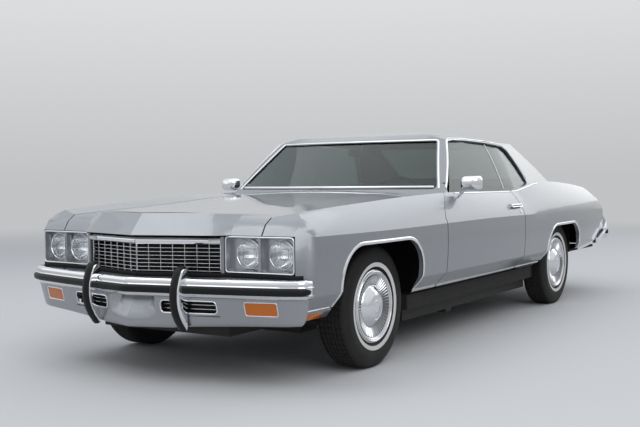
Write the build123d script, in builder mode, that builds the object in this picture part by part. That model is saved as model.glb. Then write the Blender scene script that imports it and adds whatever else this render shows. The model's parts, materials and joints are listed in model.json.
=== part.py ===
from build123d import *
import os
from math import atan2, cos, degrees, radians, sin

os.makedirs("parts", exist_ok=True)

# Full-size two-door hardtop coupe of the early 1970s, in millimetres.
# The car faces -Y, its left side is +X, and it stands on Z = 0.

# Driving dimensions
length_overall = 5640
front_overhang = 1080
wheelbase = 3150
track = 1620
wheel_centre_z = 350
crease_z = 482           # lower crease of the side
body_bottom_z = 372      # lower edge of doors and fenders between the wheels
panel_gap = 8            # shut line of doors and lids
skin = 28                # fender and quarter wall
lid_thickness = 40       # hood and trunk lid with their inner frames
door_thickness = 110     # whole door, skin to trim
glass_thickness = 6

front_axle_y = front_overhang - length_overall / 2
wheel_x = track / 2


def at(station):
    # Model Y of a station measured rearwards from the front axle.
    return front_axle_y + station


# Body sections, front to rear. Each row: station, centre z, ridge x, ridge z, valley x, valley z,
# crown x, crown z, waist half width, waist z, crease half width, bottom half width, bottom z
body_sections = (
    (-1150, 884, 370, 872, 695, 838, 822, 862, 928, 785, 918, 840, 345),
    (-350, 932, 445, 921, 715, 896, 850, 924, 990, 785, 980, 862, 345),
    (300, 965, 500, 954, 732, 930, 870, 956, 1006, 786, 996, 868, 345),
    (950, 998, 560, 983, 750, 964, 888, 976, 1011, 791, 1002, 872, 345),
    (1700, 1000, 560, 985, 760, 966, 892, 972, 1013, 792, 1004, 872, 345),
    (2230, 1005, 560, 990, 760, 968, 892, 970, 1012, 788, 1003, 874, 345),
    (2620, 1035, 560, 1022, 758, 1012, 884, 1022, 1008, 784, 999, 885, 360),
    (3200, 1048, 560, 1040, 752, 1030, 870, 1027, 999, 780, 988, 930, 415),
    (3900, 1005, 555, 998, 735, 990, 842, 986, 966, 770, 954, 918, 450),
    (4600, 940, 540, 930, 700, 920, 800, 908, 914, 757, 903, 868, 500),
)
kick_row = 5             # the form is lofted in two lengths that meet at this row
shoulder_bulge = 0.07
side_bulge = 7


def body_section(row, side_inset, top_inset, bottom_drop):
    # One section across the body, drawn in the builder that calls it.
    station, mid_z, ridge_x, ridge_z, valley_x, valley_z, crown_x, crown_z, \
        waist_x, waist_z, crease_x, bottom_x, bottom_z = row
    crown = (crown_x - side_inset, crown_z - top_inset)
    waist = (waist_x - side_inset, waist_z)
    crease = (crease_x - side_inset, crease_z)
    bottom = (bottom_x - side_inset, bottom_z - bottom_drop)
    shoulder = ((crown[0] + waist[0]) / 2 + shoulder_bulge * (crown_z - waist_z),
                (crown[1] + waist[1]) / 2 + shoulder_bulge * (waist_x - crown_x))
    flank = ((waist[0] + crease[0]) / 2 + side_bulge, (waist_z + crease_z) / 2)
    ridge_z_in = ridge_z - top_inset
    with BuildSketch(Plane.XZ.offset(-at(station))) as section:
        with BuildLine():
            ThreePointArc((-ridge_x, ridge_z_in), (0, mid_z - top_inset), (ridge_x, ridge_z_in))
            for side in (1, -1):
                valley = (side * valley_x, valley_z - top_inset)
                Line((side * ridge_x, ridge_z_in), valley)
                Line(valley, (side * crown[0], crown[1]))
                ThreePointArc((side * crown[0], crown[1]), (side * shoulder[0], shoulder[1]),
                              (side * waist[0], waist[1]))
                ThreePointArc((side * waist[0], waist[1]), (side * flank[0], flank[1]),
                              (side * crease[0], crease[1]))
                Line((side * crease[0], crease[1]), (side * bottom[0], bottom[1]))
            Line((-bottom[0], bottom[1]), bottom)
        make_face()
    return section.sketch


def body_envelope(side_inset, top_inset, bottom_drop=0):
    # The lower body as one closed form, or the same form inset for the inside of a wall.
    with BuildPart() as envelope:
        for rows in (body_sections[:kick_row + 1], body_sections[kick_row:]):
            loft([body_section(row, side_inset, top_inset, bottom_drop) for row in rows])
    return envelope.part


# Front of the body in plan at four heights: lateral position and station of each corner
nose_face = ((0, -983), (404, -866), (470, -848), (520, -836), (895, -802), (950, -745), (1100, -560))
nose_lip = ((0, -1015), (404, -905), (470, -880), (520, -836), (895, -802), (950, -745), (1100, -560))
nose_roll = ((0, -968), (404, -857), (466, -826), (520, -798), (890, -770), (946, -708), (1100, -490))
nose_top = ((0, -921), (404, -808), (458, -772), (520, -712), (875, -682), (936, -590), (1100, -330))
lip_z, roll_z, slope_top_z = 790, 846, 903
# Tail in plan, at the bumper, below the deck and at the deck
tail_face = ((0, 4470), (600, 4468), (885, 4462), (930, 4432), (958, 4370), (1100, 4150))
tail_roll = ((0, 4440), (600, 4430), (850, 4412), (902, 4360), (940, 4270), (1100, 3950))
tail_top = ((0, 4370), (600, 4330), (815, 4270), (868, 4180), (930, 3960), (1100, 3600))
tail_edge_z, tail_roll_z, deck_edge_z = 770, 865, 942


def plan_outline(corners, far_station, shift):
    # Closed plan outline from the mirrored corner row to a straight far edge.
    left = [(x, at(y + shift)) for x, y in corners]
    right = [(-x, y) for x, y in reversed(left[1:])]
    far = [(left[-1][0], at(far_station)), (-left[-1][0], at(far_station))]
    return right + left + far


def end_limit(levels, far_station, shift=0):
    # Solid that bounds one end of the body, through plan outlines at several heights.
    with BuildPart() as limit:
        for z, corners in levels:
            with BuildSketch(Plane.XY.offset(z)):
                with BuildLine():
                    Polyline(*plan_outline(corners, far_station, shift), close=True)
                make_face()
        loft(ruled=True)
    return limit.part


nose_slope = ((lip_z, nose_lip), (roll_z, nose_roll), (slope_top_z, nose_top), (1300, nose_top))
nose_block = ((150, nose_face), (lip_z, nose_face))
tail_block = ((150, tail_face), (tail_edge_z, tail_face), (tail_roll_z, tail_roll), (deck_edge_z, tail_top),
              (1300, tail_top))
mid_station = 1500


def side_prism(outline, x_from, x_to):
    # Prism across the car from a side-view outline of (station, z) points.
    with BuildPart() as prism:
        with BuildSketch(Plane.YZ.offset(x_from)):
            with BuildLine():
                Polyline(*[(at(y), z) for y, z in outline], close=True)
            make_face()
        extrude(amount=x_to - x_from)
    return prism.part


def plan_prism(outline, z_from, z_to):
    # Upright prism from a plan outline of (x, station) points.
    with BuildPart() as prism:
        with BuildSketch(Plane.XY.offset(z_from)):
            with BuildLine():
                Polyline(*[(x, at(y)) for x, y in outline], close=True)
            make_face()
        extrude(amount=z_to - z_from)
    return prism.part


def block(x, y, z):
    # Box from three (low, high) spans, y as stations.
    with BuildPart() as box:
        with Locations(((x[0] + x[1]) / 2, at((y[0] + y[1]) / 2), (z[0] + z[1]) / 2)):
            Box(x[1] - x[0], y[1] - y[0], z[1] - z[0])
    return box.part


def export_piece(part, name):
    part.label = name
    export_step(part, f"parts/{name}.step")


def export_pair(left_part, name):
    with BuildPart() as left:
        add(left_part)
    with BuildPart() as right:
        mirror(left_part, about=Plane.YZ)
    export_piece(left.part, f"{name}_left")
    export_piece(right.part, f"{name}_right")


body_outer = body_envelope(0, 0)
behind_skin = body_envelope(skin, skin, 80)
behind_lid = body_envelope(skin, lid_thickness, 80)
cabin_side = body_envelope(door_thickness, skin, 80)

# Wheel arches: centre station, half width, crown z, corner radius
arch_rows = ((-32, 447, 721, 200), (wheelbase - 50, 450, 678, 230))


def arch_prism(row, x_from, x_to):
    centre, half_width, crown_z, corner = row
    with BuildPart() as prism:
        with BuildSketch(Plane.YZ.offset(x_from)) as opening:
            with BuildLine():
                Polyline((at(centre - half_width), 100), (at(centre - half_width), crown_z),
                         (at(centre + half_width), crown_z), (at(centre + half_width), 100), close=True)
            make_face()
            fillet(opening.vertices().group_by(Axis.Y)[-1], radius=corner)
        extrude(amount=x_to - x_from)
    return prism.part


front_arch, rear_arch = arch_rows

# Shut lines. Hood edge: x and station; door edges: station and z.
hood_edge = ((705, -1200), (709, -780), (722, 0), (745, 735))
hood_rear_station = 735
door_front = ((752, 300), (752, 825), (806, 885), (900, 945), (950, 972), (960, 1100))
door_rear = ((2105, 300), (2105, 1100))
lid_half_width = 700
lid_front_station = 3640
belt_x = 765             # inboard edge of the door top


def door_outline(grow):
    front = [(y - grow, z) for y, z in door_front]
    rear = [(y + grow, z) for y, z in door_rear]
    return [(y, max(z, body_bottom_z - grow)) for y, z in front] + \
        [(y, max(z, body_bottom_z - grow)) for y, z in reversed(rear)]


# Hood with its rolled nose and lip
with BuildPart() as hood:
    add(body_outer)
    half = [(x - panel_gap / 2, y) for x, y in hood_edge]
    hood_plan = [(-x, y) for x, y in half] + [(x, y) for x, y in reversed(half)]
    add(plan_prism(hood_plan, lip_z, 1300), mode=Mode.INTERSECT)
    add(end_limit(nose_slope, mid_station), mode=Mode.INTERSECT)
    with BuildPart(mode=Mode.PRIVATE) as hood_inside:
        add(behind_lid)
        add(end_limit(((lip_z - 5, nose_lip),) + nose_slope[1:], mid_station, lid_thickness),
            mode=Mode.INTERSECT)
    add(hood_inside.part, mode=Mode.SUBTRACT)
export_piece(hood.part, "hood")

# Front fender with its wheel arch and its front wall, opened for the outer lamp
lamp_frame_x, lamp_frame_z = (490, 895), (597, 787)
pillar_foot_station = 872
fender_inner = [(x + panel_gap / 2, y) for x, y in hood_edge]
fender_front = ((150, nose_face), (lip_z, nose_face)) + nose_slope[1:]
with BuildPart() as fender:
    add(body_outer)
    with BuildPart(mode=Mode.PRIVATE) as fender_inside:
        add(behind_skin)
        add(end_limit(fender_front, mid_station, skin), mode=Mode.INTERSECT)
    add(fender_inside.part, mode=Mode.SUBTRACT)
    add(plan_prism(fender_inner + [(fender_inner[-1][0], 960), (1100, 960), (1100, -1200)], 100, 1300),
        mode=Mode.INTERSECT)
    add(end_limit(fender_front, mid_station), mode=Mode.INTERSECT)
    add(side_prism(door_outline(panel_gap), 600, 1200), mode=Mode.SUBTRACT)
    add(block((600, lamp_frame_x[1] + 3), (-1000, -700), (lamp_frame_z[0] - 4, lamp_frame_z[1] + 3)),
        mode=Mode.SUBTRACT)
    add(block((600, 1200), (400, 1000), (100, body_bottom_z)), mode=Mode.SUBTRACT)
    add(block((600, 1200), (-1000, -460), (100, 348)), mode=Mode.SUBTRACT)
    add(arch_prism(front_arch, 600, 1200), mode=Mode.SUBTRACT)
    add(block((600, 866), (pillar_foot_station, 1000), (100, 1300)), mode=Mode.SUBTRACT)
export_pair(fender.part, "front_fender")

# Door: hemmed skin on the full outline, hollow only behind the hem
hem = 34
with BuildPart() as door:
    add(body_outer)
    add(side_prism(door_outline(0), belt_x, 1200), mode=Mode.INTERSECT)
    add(cabin_side, mode=Mode.SUBTRACT)
    with BuildPart(mode=Mode.PRIVATE) as behind_hem:
        add(behind_skin)
        add(side_prism(door_outline(-hem), 500, 1200), mode=Mode.SUBTRACT)
    add(behind_hem.part, mode=Mode.SUBTRACT)
    add(block((700, 867), (700, 1072), (880, 1100)), mode=Mode.SUBTRACT)
export_pair(door.part, "door")

# Slanted joint of the quarter panel and the rear bumper's wing: station and z
bumper_wing_edge = ((4120, 470), (4440, 575), (4500, 720), (4500, 760))

# Quarter panel from the door to the tail, with the deck edge and the rear arch
quarter_plan = ((belt_x, 1900), (belt_x, 3360), (lid_half_width, 3400), (lid_half_width, 4560),
                (1100, 4560), (1100, 1900))
with BuildPart() as quarter:
    add(body_outer)
    add(plan_prism(quarter_plan, 100, 1300), mode=Mode.INTERSECT)
    add(end_limit(tail_block, mid_station), mode=Mode.INTERSECT)
    with BuildPart(mode=Mode.PRIVATE) as inside:
        add(behind_skin)
        add(block((600, 950), (2250, 2600), (body_bottom_z, 940)), mode=Mode.SUBTRACT)
    add(inside.part, mode=Mode.SUBTRACT)
    add(cabin_side, mode=Mode.SUBTRACT)
    add(side_prism([(y + panel_gap, z) for y, z in door_rear] + [(1800, 1100), (1800, 300)], 500, 1200),
        mode=Mode.SUBTRACT)
    add(block((500, 1200), (1800, 2700), (100, body_bottom_z)), mode=Mode.SUBTRACT)
    add(side_prism(bumper_wing_edge + ((4700, 760), (4700, 300), (4120, 300)), 600, 1200), mode=Mode.SUBTRACT)
    add(arch_prism(rear_arch, 500, 1200), mode=Mode.SUBTRACT)
export_pair(quarter.part, "quarter_panel")

# Trunk lid, with its down-turned rear edge
lid_lower_z = 800
with BuildPart() as trunk_lid:
    add(body_outer)
    lid_x = lid_half_width - panel_gap
    add(plan_prism(((-lid_x, lid_front_station), (lid_x, lid_front_station), (lid_x, 4560), (-lid_x, 4560)),
                   lid_lower_z, 1300), mode=Mode.INTERSECT)
    add(end_limit(tail_block, mid_station), mode=Mode.INTERSECT)
    with BuildPart(mode=Mode.PRIVATE) as lid_inside:
        add(behind_lid)
        add(end_limit(tail_block, mid_station, -lid_thickness), mode=Mode.INTERSECT)
    add(lid_inside.part, mode=Mode.SUBTRACT)
export_piece(trunk_lid.part, "trunk_lid")

# Tail panel below the lid, carrying the lamps and the plate recess
with BuildPart() as tail_panel:
    add(behind_skin)
    add(end_limit(tail_block, mid_station), mode=Mode.INTERSECT)
    add(end_limit(tail_block, mid_station, -skin), mode=Mode.SUBTRACT)
    add(block((-860, 860), (4000, 4560), (430, lid_lower_z - panel_gap)), mode=Mode.INTERSECT)
export_piece(tail_panel.part, "tail_panel")

# Panel between the rear window and the trunk lid, with the parcel shelf in front of it
with BuildPart() as rear_deck:
    add(body_outer)
    add(behind_lid, mode=Mode.SUBTRACT)
    add(plan_prism(((-belt_x, 3000), (belt_x, 3000), (belt_x, 3360), (lid_half_width, 3400),
                    (lid_half_width, lid_front_station - panel_gap),
                    (-lid_half_width, lid_front_station - panel_gap), (-lid_half_width, 3400),
                    (-belt_x, 3360)), 900, 1300), mode=Mode.INTERSECT)
export_piece(rear_deck.part, "rear_deck")

# Greenhouse: its side view, and front-view sections that narrow behind the door
roof_line = ((1330, 1362), (1700, 1414), (2100, 1428), (2480, 1408), (2760, 1334))
backlight_foot = (3520, 1035)
roof_half_width, belt_half_width = 700, 868
roof_centre_z, eave_z, belt_z = 1436, 1340, 960
greenhouse_sections = ((400, 0), (2300, 0), (3700, 168))    # station, narrowing
wall = 44


def greenhouse_form(inset):
    with BuildPart() as form:
        with BuildSketch(Plane.YZ.offset(-1000)):
            with BuildLine():
                roof = [(at(y), z - inset) for y, z in roof_line]
                foot = (at(backlight_foot[0] - 1.6 * inset), backlight_foot[1] - inset)
                Spline(*roof)
                Polyline(roof[-1], foot, (foot[0], 850), (at(600), 850), (at(600), roof[0][1]), roof[0])
            make_face()
        extrude(amount=2000)
        with BuildPart(mode=Mode.PRIVATE) as across:
            for station, narrowing in greenhouse_sections:
                eave = (roof_half_width - inset - narrowing, eave_z - inset)
                belt = (belt_half_width - inset - narrowing, belt_z)
                foot = (belt[0] + 24, 850)
                with BuildSketch(Plane.XZ.offset(-at(station))):
                    with BuildLine():
                        ThreePointArc((-eave[0], eave[1]), (0, roof_centre_z - inset), eave)
                        for side in (1, -1):
                            middle = (side * ((eave[0] + belt[0]) / 2 + 12), (eave[1] + belt[1]) / 2)
                            ThreePointArc((side * eave[0], eave[1]), middle, (side * belt[0], belt[1]))
                            Line((side * belt[0], belt[1]), (side * foot[0], foot[1]))
                        Line((-foot[0], foot[1]), foot)
                    make_face()
            loft(ruled=True)
        add(across.part, mode=Mode.INTERSECT)
    return form.part


# Windshield: station of its centre line at the base, its slope, and how far its sides sweep back
screen_base_z, screen_station = 985, 850
screen_run, screen_rise = 446, 335
screen_sweep, sweep_loss = 299, 109


def behind_screen(shift):
    # Everything behind the windshield surface, whose plan arc flattens towards the header.
    with BuildPart() as space:
        for rise in (-0.6, 1.8):
            centre = at(screen_station + screen_run * rise + shift)
            edge = centre + screen_sweep - sweep_loss * rise
            with BuildSketch(Plane.XY.offset(screen_base_z + screen_rise * rise)):
                with BuildLine():
                    ThreePointArc((-1100, edge), (0, centre), (1100, edge))
                    Polyline((1100, edge), (1100, at(5000)), (-1100, at(5000)), (-1100, edge))
                make_face()
        loft(ruled=True)
    return space.part


greenhouse_outer = greenhouse_form(0)

# Cowl in front of the windshield, reaching out to the pillar feet
cowl_half_width, foot_half_width = 745, 858
cowl_front, cowl_rear = 743, 1060
with BuildPart() as cowl:
    add(body_outer)
    add(behind_lid, mode=Mode.SUBTRACT)
    cowl_edge = ((cowl_half_width, cowl_front), (cowl_half_width, pillar_foot_station + 8),
                 (foot_half_width, pillar_foot_station + 8), (foot_half_width, cowl_rear))
    add(plan_prism([(-x, y) for x, y in cowl_edge] + list(reversed(cowl_edge)), 800, 1300), mode=Mode.INTERSECT)
    with BuildPart(mode=Mode.PRIVATE) as feet:
        add(greenhouse_outer)
        add(behind_screen(-2), mode=Mode.INTERSECT)
        add(block((-1000, 1000), (700, 1100), (930, 1100)), mode=Mode.INTERSECT)
        add(block((-cowl_half_width, cowl_half_width), (700, 1100), (900, 1200)), mode=Mode.SUBTRACT)
    add(feet.part, mode=Mode.SUBTRACT)
    add(block((-foot_half_width, foot_half_width), (pillar_foot_station + 8, cowl_rear), (890, 928)))
export_piece(cowl.part, "cowl")

# Window openings: side view (station, z) and front view (half width at the belt and at the header)
side_window = ((1066, 985), (1402, 1326), (1500, 1337), (1725, 1342), (2075, 1331), (2420, 1311),
               (2520, 1280), (2637, 1160), (2745, 1030), (2720, 985))
screen_opening = ((808, 998), (642, 1330))
backlight_opening = ((700, 1062), (575, 1322))
divider_station = 2088
screen_corner = 20


def screen_prism(opening, y_from, y_to):
    (low_x, low_z), (high_x, high_z) = opening
    with BuildPart() as prism:
        with BuildSketch(Plane.XZ.offset(-at(y_from))) as outline:
            with BuildLine():
                Polyline((-low_x, low_z), (-high_x, high_z), (high_x, high_z), (low_x, low_z), close=True)
            make_face()
            fillet(outline.vertices(), radius=screen_corner)
        extrude(amount=y_from - y_to)
    return prism.part


with BuildPart() as roof:
    add(greenhouse_outer)
    add(behind_screen(0), mode=Mode.INTERSECT)
    with BuildPart(mode=Mode.PRIVATE) as cabin_space:
        add(greenhouse_form(wall))
        add(behind_screen(wall + 16), mode=Mode.INTERSECT)
    add(cabin_space.part, mode=Mode.SUBTRACT)
    add(block((-1200, 1200), (0, 4000), (700, 932)), mode=Mode.SUBTRACT)
    add(side_prism(side_window, -1200, 1200), mode=Mode.SUBTRACT)
    add(screen_prism(screen_opening, 700, 1700), mode=Mode.SUBTRACT)
    add(screen_prism(backlight_opening, 2600, 3700), mode=Mode.SUBTRACT)
    add(block((-1200, 1200), (1072, 2735), (700, 1040)), mode=Mode.SUBTRACT)
    with BuildPart(mode=Mode.PRIVATE) as below_belt:
        add(body_outer)
        add(block((748, 858), (700, 1066), (931, 1100)), mode=Mode.SUBTRACT)
        add(block((-858, -748), (700, 1066), (931, 1100)), mode=Mode.SUBTRACT)
    add(below_belt.part, mode=Mode.SUBTRACT)
export_piece(roof.part, "roof")

# Glass: thin shells just inside the outer form. Door glass ends at the divider.
glass_depth = 12
glass_form = greenhouse_form(glass_depth)
glass_inner = greenhouse_form(glass_depth + glass_thickness)
reveal = 6               # clearance around the moving glass


def window_prism(clearance):
    # The side opening carried below the belt, drawn in by a clearance.
    with BuildPart() as prism:
        with BuildSketch(Plane.YZ.offset(500)):
            with BuildLine():
                Polyline(*[(at(y), z - (60 if z < 1000 else 0)) for y, z in side_window], close=True)
            make_face()
            offset(amount=-clearance, kind=Kind.INTERSECTION, mode=Mode.REPLACE)
        extrude(amount=700)
    return prism.part


with BuildPart() as door_glass:
    add(glass_form)
    add(glass_inner, mode=Mode.SUBTRACT)
    add(window_prism(reveal), mode=Mode.INTERSECT)
    add(block((600, 1200), (1000, divider_station - reveal), (900, 1400)), mode=Mode.INTERSECT)
    add(body_outer, mode=Mode.SUBTRACT)
export_pair(door_glass.part, "door_glass")

with BuildPart() as quarter_glass:
    add(glass_form)
    add(glass_inner, mode=Mode.SUBTRACT)
    add(window_prism(4), mode=Mode.INTERSECT)
    add(block((600, 1200), (divider_station, 2800), (900, 1400)), mode=Mode.INTERSECT)
    add(body_outer, mode=Mode.SUBTRACT)
with BuildPart() as quarter_glass_pair:
    add(quarter_glass.part)
    mirror(quarter_glass.part, about=Plane.YZ)
export_piece(quarter_glass_pair.part, "quarter_glass")

with BuildPart() as windshield:
    add(behind_screen(14))
    add(behind_screen(14 + glass_thickness), mode=Mode.SUBTRACT)
    add(greenhouse_form(18), mode=Mode.INTERSECT)
    add(screen_prism(screen_opening, 700, 1700), mode=Mode.INTERSECT)
    add(body_outer, mode=Mode.SUBTRACT)
export_piece(windshield.part, "windshield")

with BuildPart() as backlight:
    add(greenhouse_form(14))
    add(greenhouse_form(14 + glass_thickness), mode=Mode.SUBTRACT)
    add(screen_prism(backlight_opening, 2700, 3700), mode=Mode.INTERSECT)
    add(block((-1000, 1000), (2650, 3700), (1000, 1322)), mode=Mode.INTERSECT)
    add(body_outer, mode=Mode.SUBTRACT)
export_piece(backlight.part, "backlight")


def both_sides(x, y, z):
    # The same box on the left and on the right.
    add(block(x, y, z))
    add(block((-x[1], -x[0]), y, z))


# Floor, sills, firewall, aprons, pillars and wheelhouses as one welded tub
floor_z, floor_thickness = 270, 26
sill_x, sill_top = 870, 362
with BuildPart() as floor_pan:
    add(block((-770, 770), (745, 2660), (floor_z, floor_z + floor_thickness)))
    both_sides((770, sill_x), (456, 2600), (floor_z, sill_top))
    add(block((-770, 770), (745, 771), (floor_z, 890)))
    both_sides((455, 475), (-670, 760), (330, 850))
    both_sides((770, 850), (690, 771), (sill_top - 10, 890))
    add(block((-150, 150), (745, 2660), (floor_z, 430)))
    add(block((-770, 770), (2640, 2660), (floor_z, 480)))
    add(block((-600, 600), (2640, 3010), (460, 480)))
    add(block((-600, 600), (2990, 3010), (460, 540)))
    add(block((-600, 600), (2990, 3500), (520, 540)))
    add(block((-600, 600), (3480, 3500), (400, 540)))
    add(block((-600, 600), (3480, 4390), (400, 420)))
    add(block((-845, 845), (3620, 4390), (400, 420)))
    both_sides((598, 620), (2640, 3640), (400, 762))
    both_sides((598, 860), (2640, 3640), (740, 762))
    both_sides((598, 860), (3620, 3640), (400, 762))
    both_sides((598, 860), (2640, 2660), (floor_z, 762))
    add(block((-610, 610), (3040, 3060), (530, 985)))
    with BuildPart(mode=Mode.PRIVATE) as tunnel:
        add(block((-130, 130), (700, 3100), (200, 410)))
    add(tunnel.part, mode=Mode.SUBTRACT)
export_piece(floor_pan.part, "floor_pan")

# Perimeter frame: stepped rails joined by cross members
with BuildPart() as chassis_frame:
    both_sides((375, 450), (-760, 690), (250, 335))
    both_sides((375, 450), (600, 690), (175, 335))
    both_sides((375, 760), (600, 690), (175, 262))
    both_sides((690, 760), (600, 2745), (175, 262))
    both_sides((430, 760), (2670, 2745), (175, 262))
    both_sides((430, 500), (2670, 2745), (175, 425))
    both_sides((430, 500), (2740, 3085), (345, 425))
    both_sides((430, 500), (3015, 3085), (345, 512))
    both_sides((430, 500), (3015, 3470), (440, 512))
    both_sides((430, 500), (3400, 3470), (310, 512))
    both_sides((430, 500), (3400, 4300), (310, 392))
    add(block((-380, 380), (-760, -690), (250, 335)))
    add(block((-380, 380), (-90, 90), (175, 250)))
    both_sides((375, 450), (-90, 90), (175, 335))
    add(block((-700, 700), (1250, 1330), (150, 186)))
    both_sides((690, 760), (1250, 1330), (150, 262))
    add(block((-440, 440), (2700, 2745), (386, 425)))
    add(block((-440, 440), (4220, 4300), (310, 392)))
export_piece(chassis_frame.part, "chassis_frame")

# Engine as one closed block, with its gearbox and propeller shaft behind it
with BuildPart() as engine:
    add(block((-300, 300), (-420, 500), (345, 850)))
    fillet(engine.edges().filter_by(Axis.Y), radius=90)
export_piece(engine.part, "engine")

shaft_z = 345
with BuildPart() as driveline:
    with BuildSketch(Plane.XZ.offset(-at(500))):
        with Locations((0, 320)):
            RectangleRounded(240, 170, 50)
    extrude(amount=-500)
    with BuildSketch(Plane.XZ.offset(-at(1000))):
        with Locations((0, shaft_z - 10)):
            Circle(60)
    extrude(amount=-220)
    with BuildSketch(Plane.XZ.offset(-at(1220))):
        with Locations((0, shaft_z)):
            Circle(35)
    extrude(amount=-(wheelbase - 150 - 1220))
export_piece(driveline.part, "driveline")

with BuildPart() as rear_axle:
    with BuildSketch(Plane.YZ.offset(-705)):
        with Locations((at(wheelbase), wheel_centre_z)):
            Circle(42)
    extrude(amount=1410)
    with BuildSketch(Plane.XY.offset(wheel_centre_z)):
        with Locations((0, at(wheelbase))):
            Circle(148)
    extrude(amount=75, both=True)
    for side in (1, -1):
        with BuildSketch(Plane.YZ.offset(side * 700)):
            with Locations((at(wheelbase), wheel_centre_z)):
                Circle(140)
        extrude(amount=side * 60)
        with BuildSketch(Plane.YZ.offset(side * 700)):
            with Locations((at(wheelbase), wheel_centre_z)):
                Circle(45)
        extrude(amount=side * 160)
export_piece(rear_axle.part, "rear_axle")

# Exhaust from the engine to the tail, with its muffler
with BuildPart() as exhaust:
    with BuildLine() as run:
        FilletPolyline((-280, at(520), 222), (-280, at(2700), 220), (-330, at(2920), 345), (-330, at(3075), 456),
                       (-330, at(3230), 456), (-350, at(3420), 262), (-545, at(3600), 262),
                       (-560, at(4420), 262), radius=60)
    with BuildSketch(Plane(origin=run.line @ 0, z_dir=run.line % 0)):
        Circle(28)
    sweep()
    with BuildSketch(Plane.XZ.offset(-at(1750))):
        with Locations((-280, 222)):
            Ellipse(110, 45)
    extrude(amount=-480)
export_piece(exhaust.part, "exhaust")

with BuildPart() as fuel_tank:
    add(block((-410, 410), (3640, 4160), (225, 396)))
    fillet(fuel_tank.edges().filter_by(Axis.X), radius=40)
export_piece(fuel_tank.part, "fuel_tank")

# Wheels: a revolved tyre on a rim with a full cover
rim_radius = 200
cover_radius = 203
kingpin_x = 700
# Tyre half section, over the tread to the widest point and then in to the bead:
# distance from the middle plane and radius
tread_rows = ((0, 350), (62, 350), (80, 341), (92, 318), (100, 278))
bead_rows = ((100, 278), (93, 236), (77, 212), (74, rim_radius + 1))
tyre_sides = 48          # flats round the tread, so that the four tyres stay light


def tapered_rings(rows, mode):
    # Stacked flat-sided tapers between the rows of a half section.
    for (distance, radius), (next_distance, next_radius) in zip(rows, rows[1:]):
        step = next_distance - distance
        with BuildSketch(Plane.YZ.offset(distance)) as ring:
            RegularPolygon(radius, tyre_sides, major_radius=False, rotation=180 / tyre_sides)
        extrude(ring.sketch, amount=step, taper=degrees(atan2(radius - next_radius, abs(step))), mode=mode)


with BuildPart() as tyre_half:
    tapered_rings(tread_rows, Mode.ADD)
    tapered_rings(bead_rows, Mode.SUBTRACT)
    with BuildSketch(Plane.YZ):
        RegularPolygon(rim_radius + 1, tyre_sides, major_radius=False, rotation=180 / tyre_sides)
    extrude(amount=bead_rows[0][0], mode=Mode.SUBTRACT)
with BuildPart() as tyre_form:
    add(tyre_half.part)
    mirror(tyre_half.part, about=Plane.YZ)

wheel_places = (("front_left", wheel_x, 0), ("front_right", -wheel_x, 0),
                ("rear_left", wheel_x, wheelbase), ("rear_right", -wheel_x, wheelbase))
# Rim and cover in section: radius and distance outboard of the wheel's centre plane
rim_profile = ((60, 20), (150, 20), (165, 5), (165, -70), (195, -86), (210, -86), (210, -80), (199.5, -78),
               (199.5, -60), (185, -50), (185, 40), (199.5, 60), (199.5, 78), (210, 80), (210, 86),
               (cover_radius, 92), (190, 94), (178, 86), (120, 66), (104, 78), (84, 92), (50, 97), (0, 99),
               (0, 60), (60, 56))
for place, x, station in wheel_places:
    outward = 1 if x > 0 else -1
    section_plane = Plane(origin=(x, at(station), wheel_centre_z), x_dir=(0, 0, 1), z_dir=(0, outward, 0))
    wheel_axis = Axis((x, at(station), wheel_centre_z), (1, 0, 0))
    with BuildPart() as tyre:
        with Locations((x, at(station), wheel_centre_z)):
            add(tyre_form.part)
    export_piece(tyre.part, f"tyre_{place}")
    with BuildPart() as wheel:
        with BuildSketch(section_plane):
            with BuildLine():
                Polyline(*rim_profile, close=True)
            make_face()
        revolve(axis=wheel_axis)
    export_piece(wheel.part, f"wheel_{place}")

# Steering knuckle with its brake drum, spindle and two ball studs on the kingpin axis
arm_rows = ((232, 24, 450), (464, 24, 475))      # underside, thickness, inner end
knuckle_z = (266, 454)
stud_radius, stud_hole_radius, arm_eye_radius = 13, 19, 33
drum_radius, spindle_radius = 135, 45
with BuildPart() as knuckle:
    add(block((kingpin_x - 25, kingpin_x + 25), (-35, 35), knuckle_z))
    with BuildSketch(Plane.XY.offset(224)):
        with Locations((kingpin_x, at(0))):
            Circle(stud_radius)
    extrude(amount=272)
    with BuildSketch(Plane.YZ.offset(kingpin_x + 40)):
        with Locations((at(0), wheel_centre_z)):
            Circle(drum_radius)
    extrude(amount=60)
    with BuildSketch(Plane.YZ.offset(kingpin_x)):
        with Locations((at(0), wheel_centre_z)):
            Circle(spindle_radius)
    extrude(amount=160)
export_pair(knuckle.part, "knuckle")

# Front suspension arms, each with an eye round the kingpin's stud
with BuildPart() as front_suspension:
    for underside, thickness, inner_x in arm_rows:
        for side in (1, -1):
            with BuildSketch(Plane.XY.offset(underside)):
                with BuildLine():
                    Polyline((side * inner_x, at(-150)), (side * kingpin_x, at(-arm_eye_radius)),
                             (side * kingpin_x, at(arm_eye_radius)), (side * inner_x, at(150)), close=True)
                make_face()
                with Locations((side * kingpin_x, at(0))):
                    Circle(arm_eye_radius)
                    Circle(stud_hole_radius, mode=Mode.SUBTRACT)
            extrude(amount=thickness)
export_piece(front_suspension.part, "front_suspension")

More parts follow.
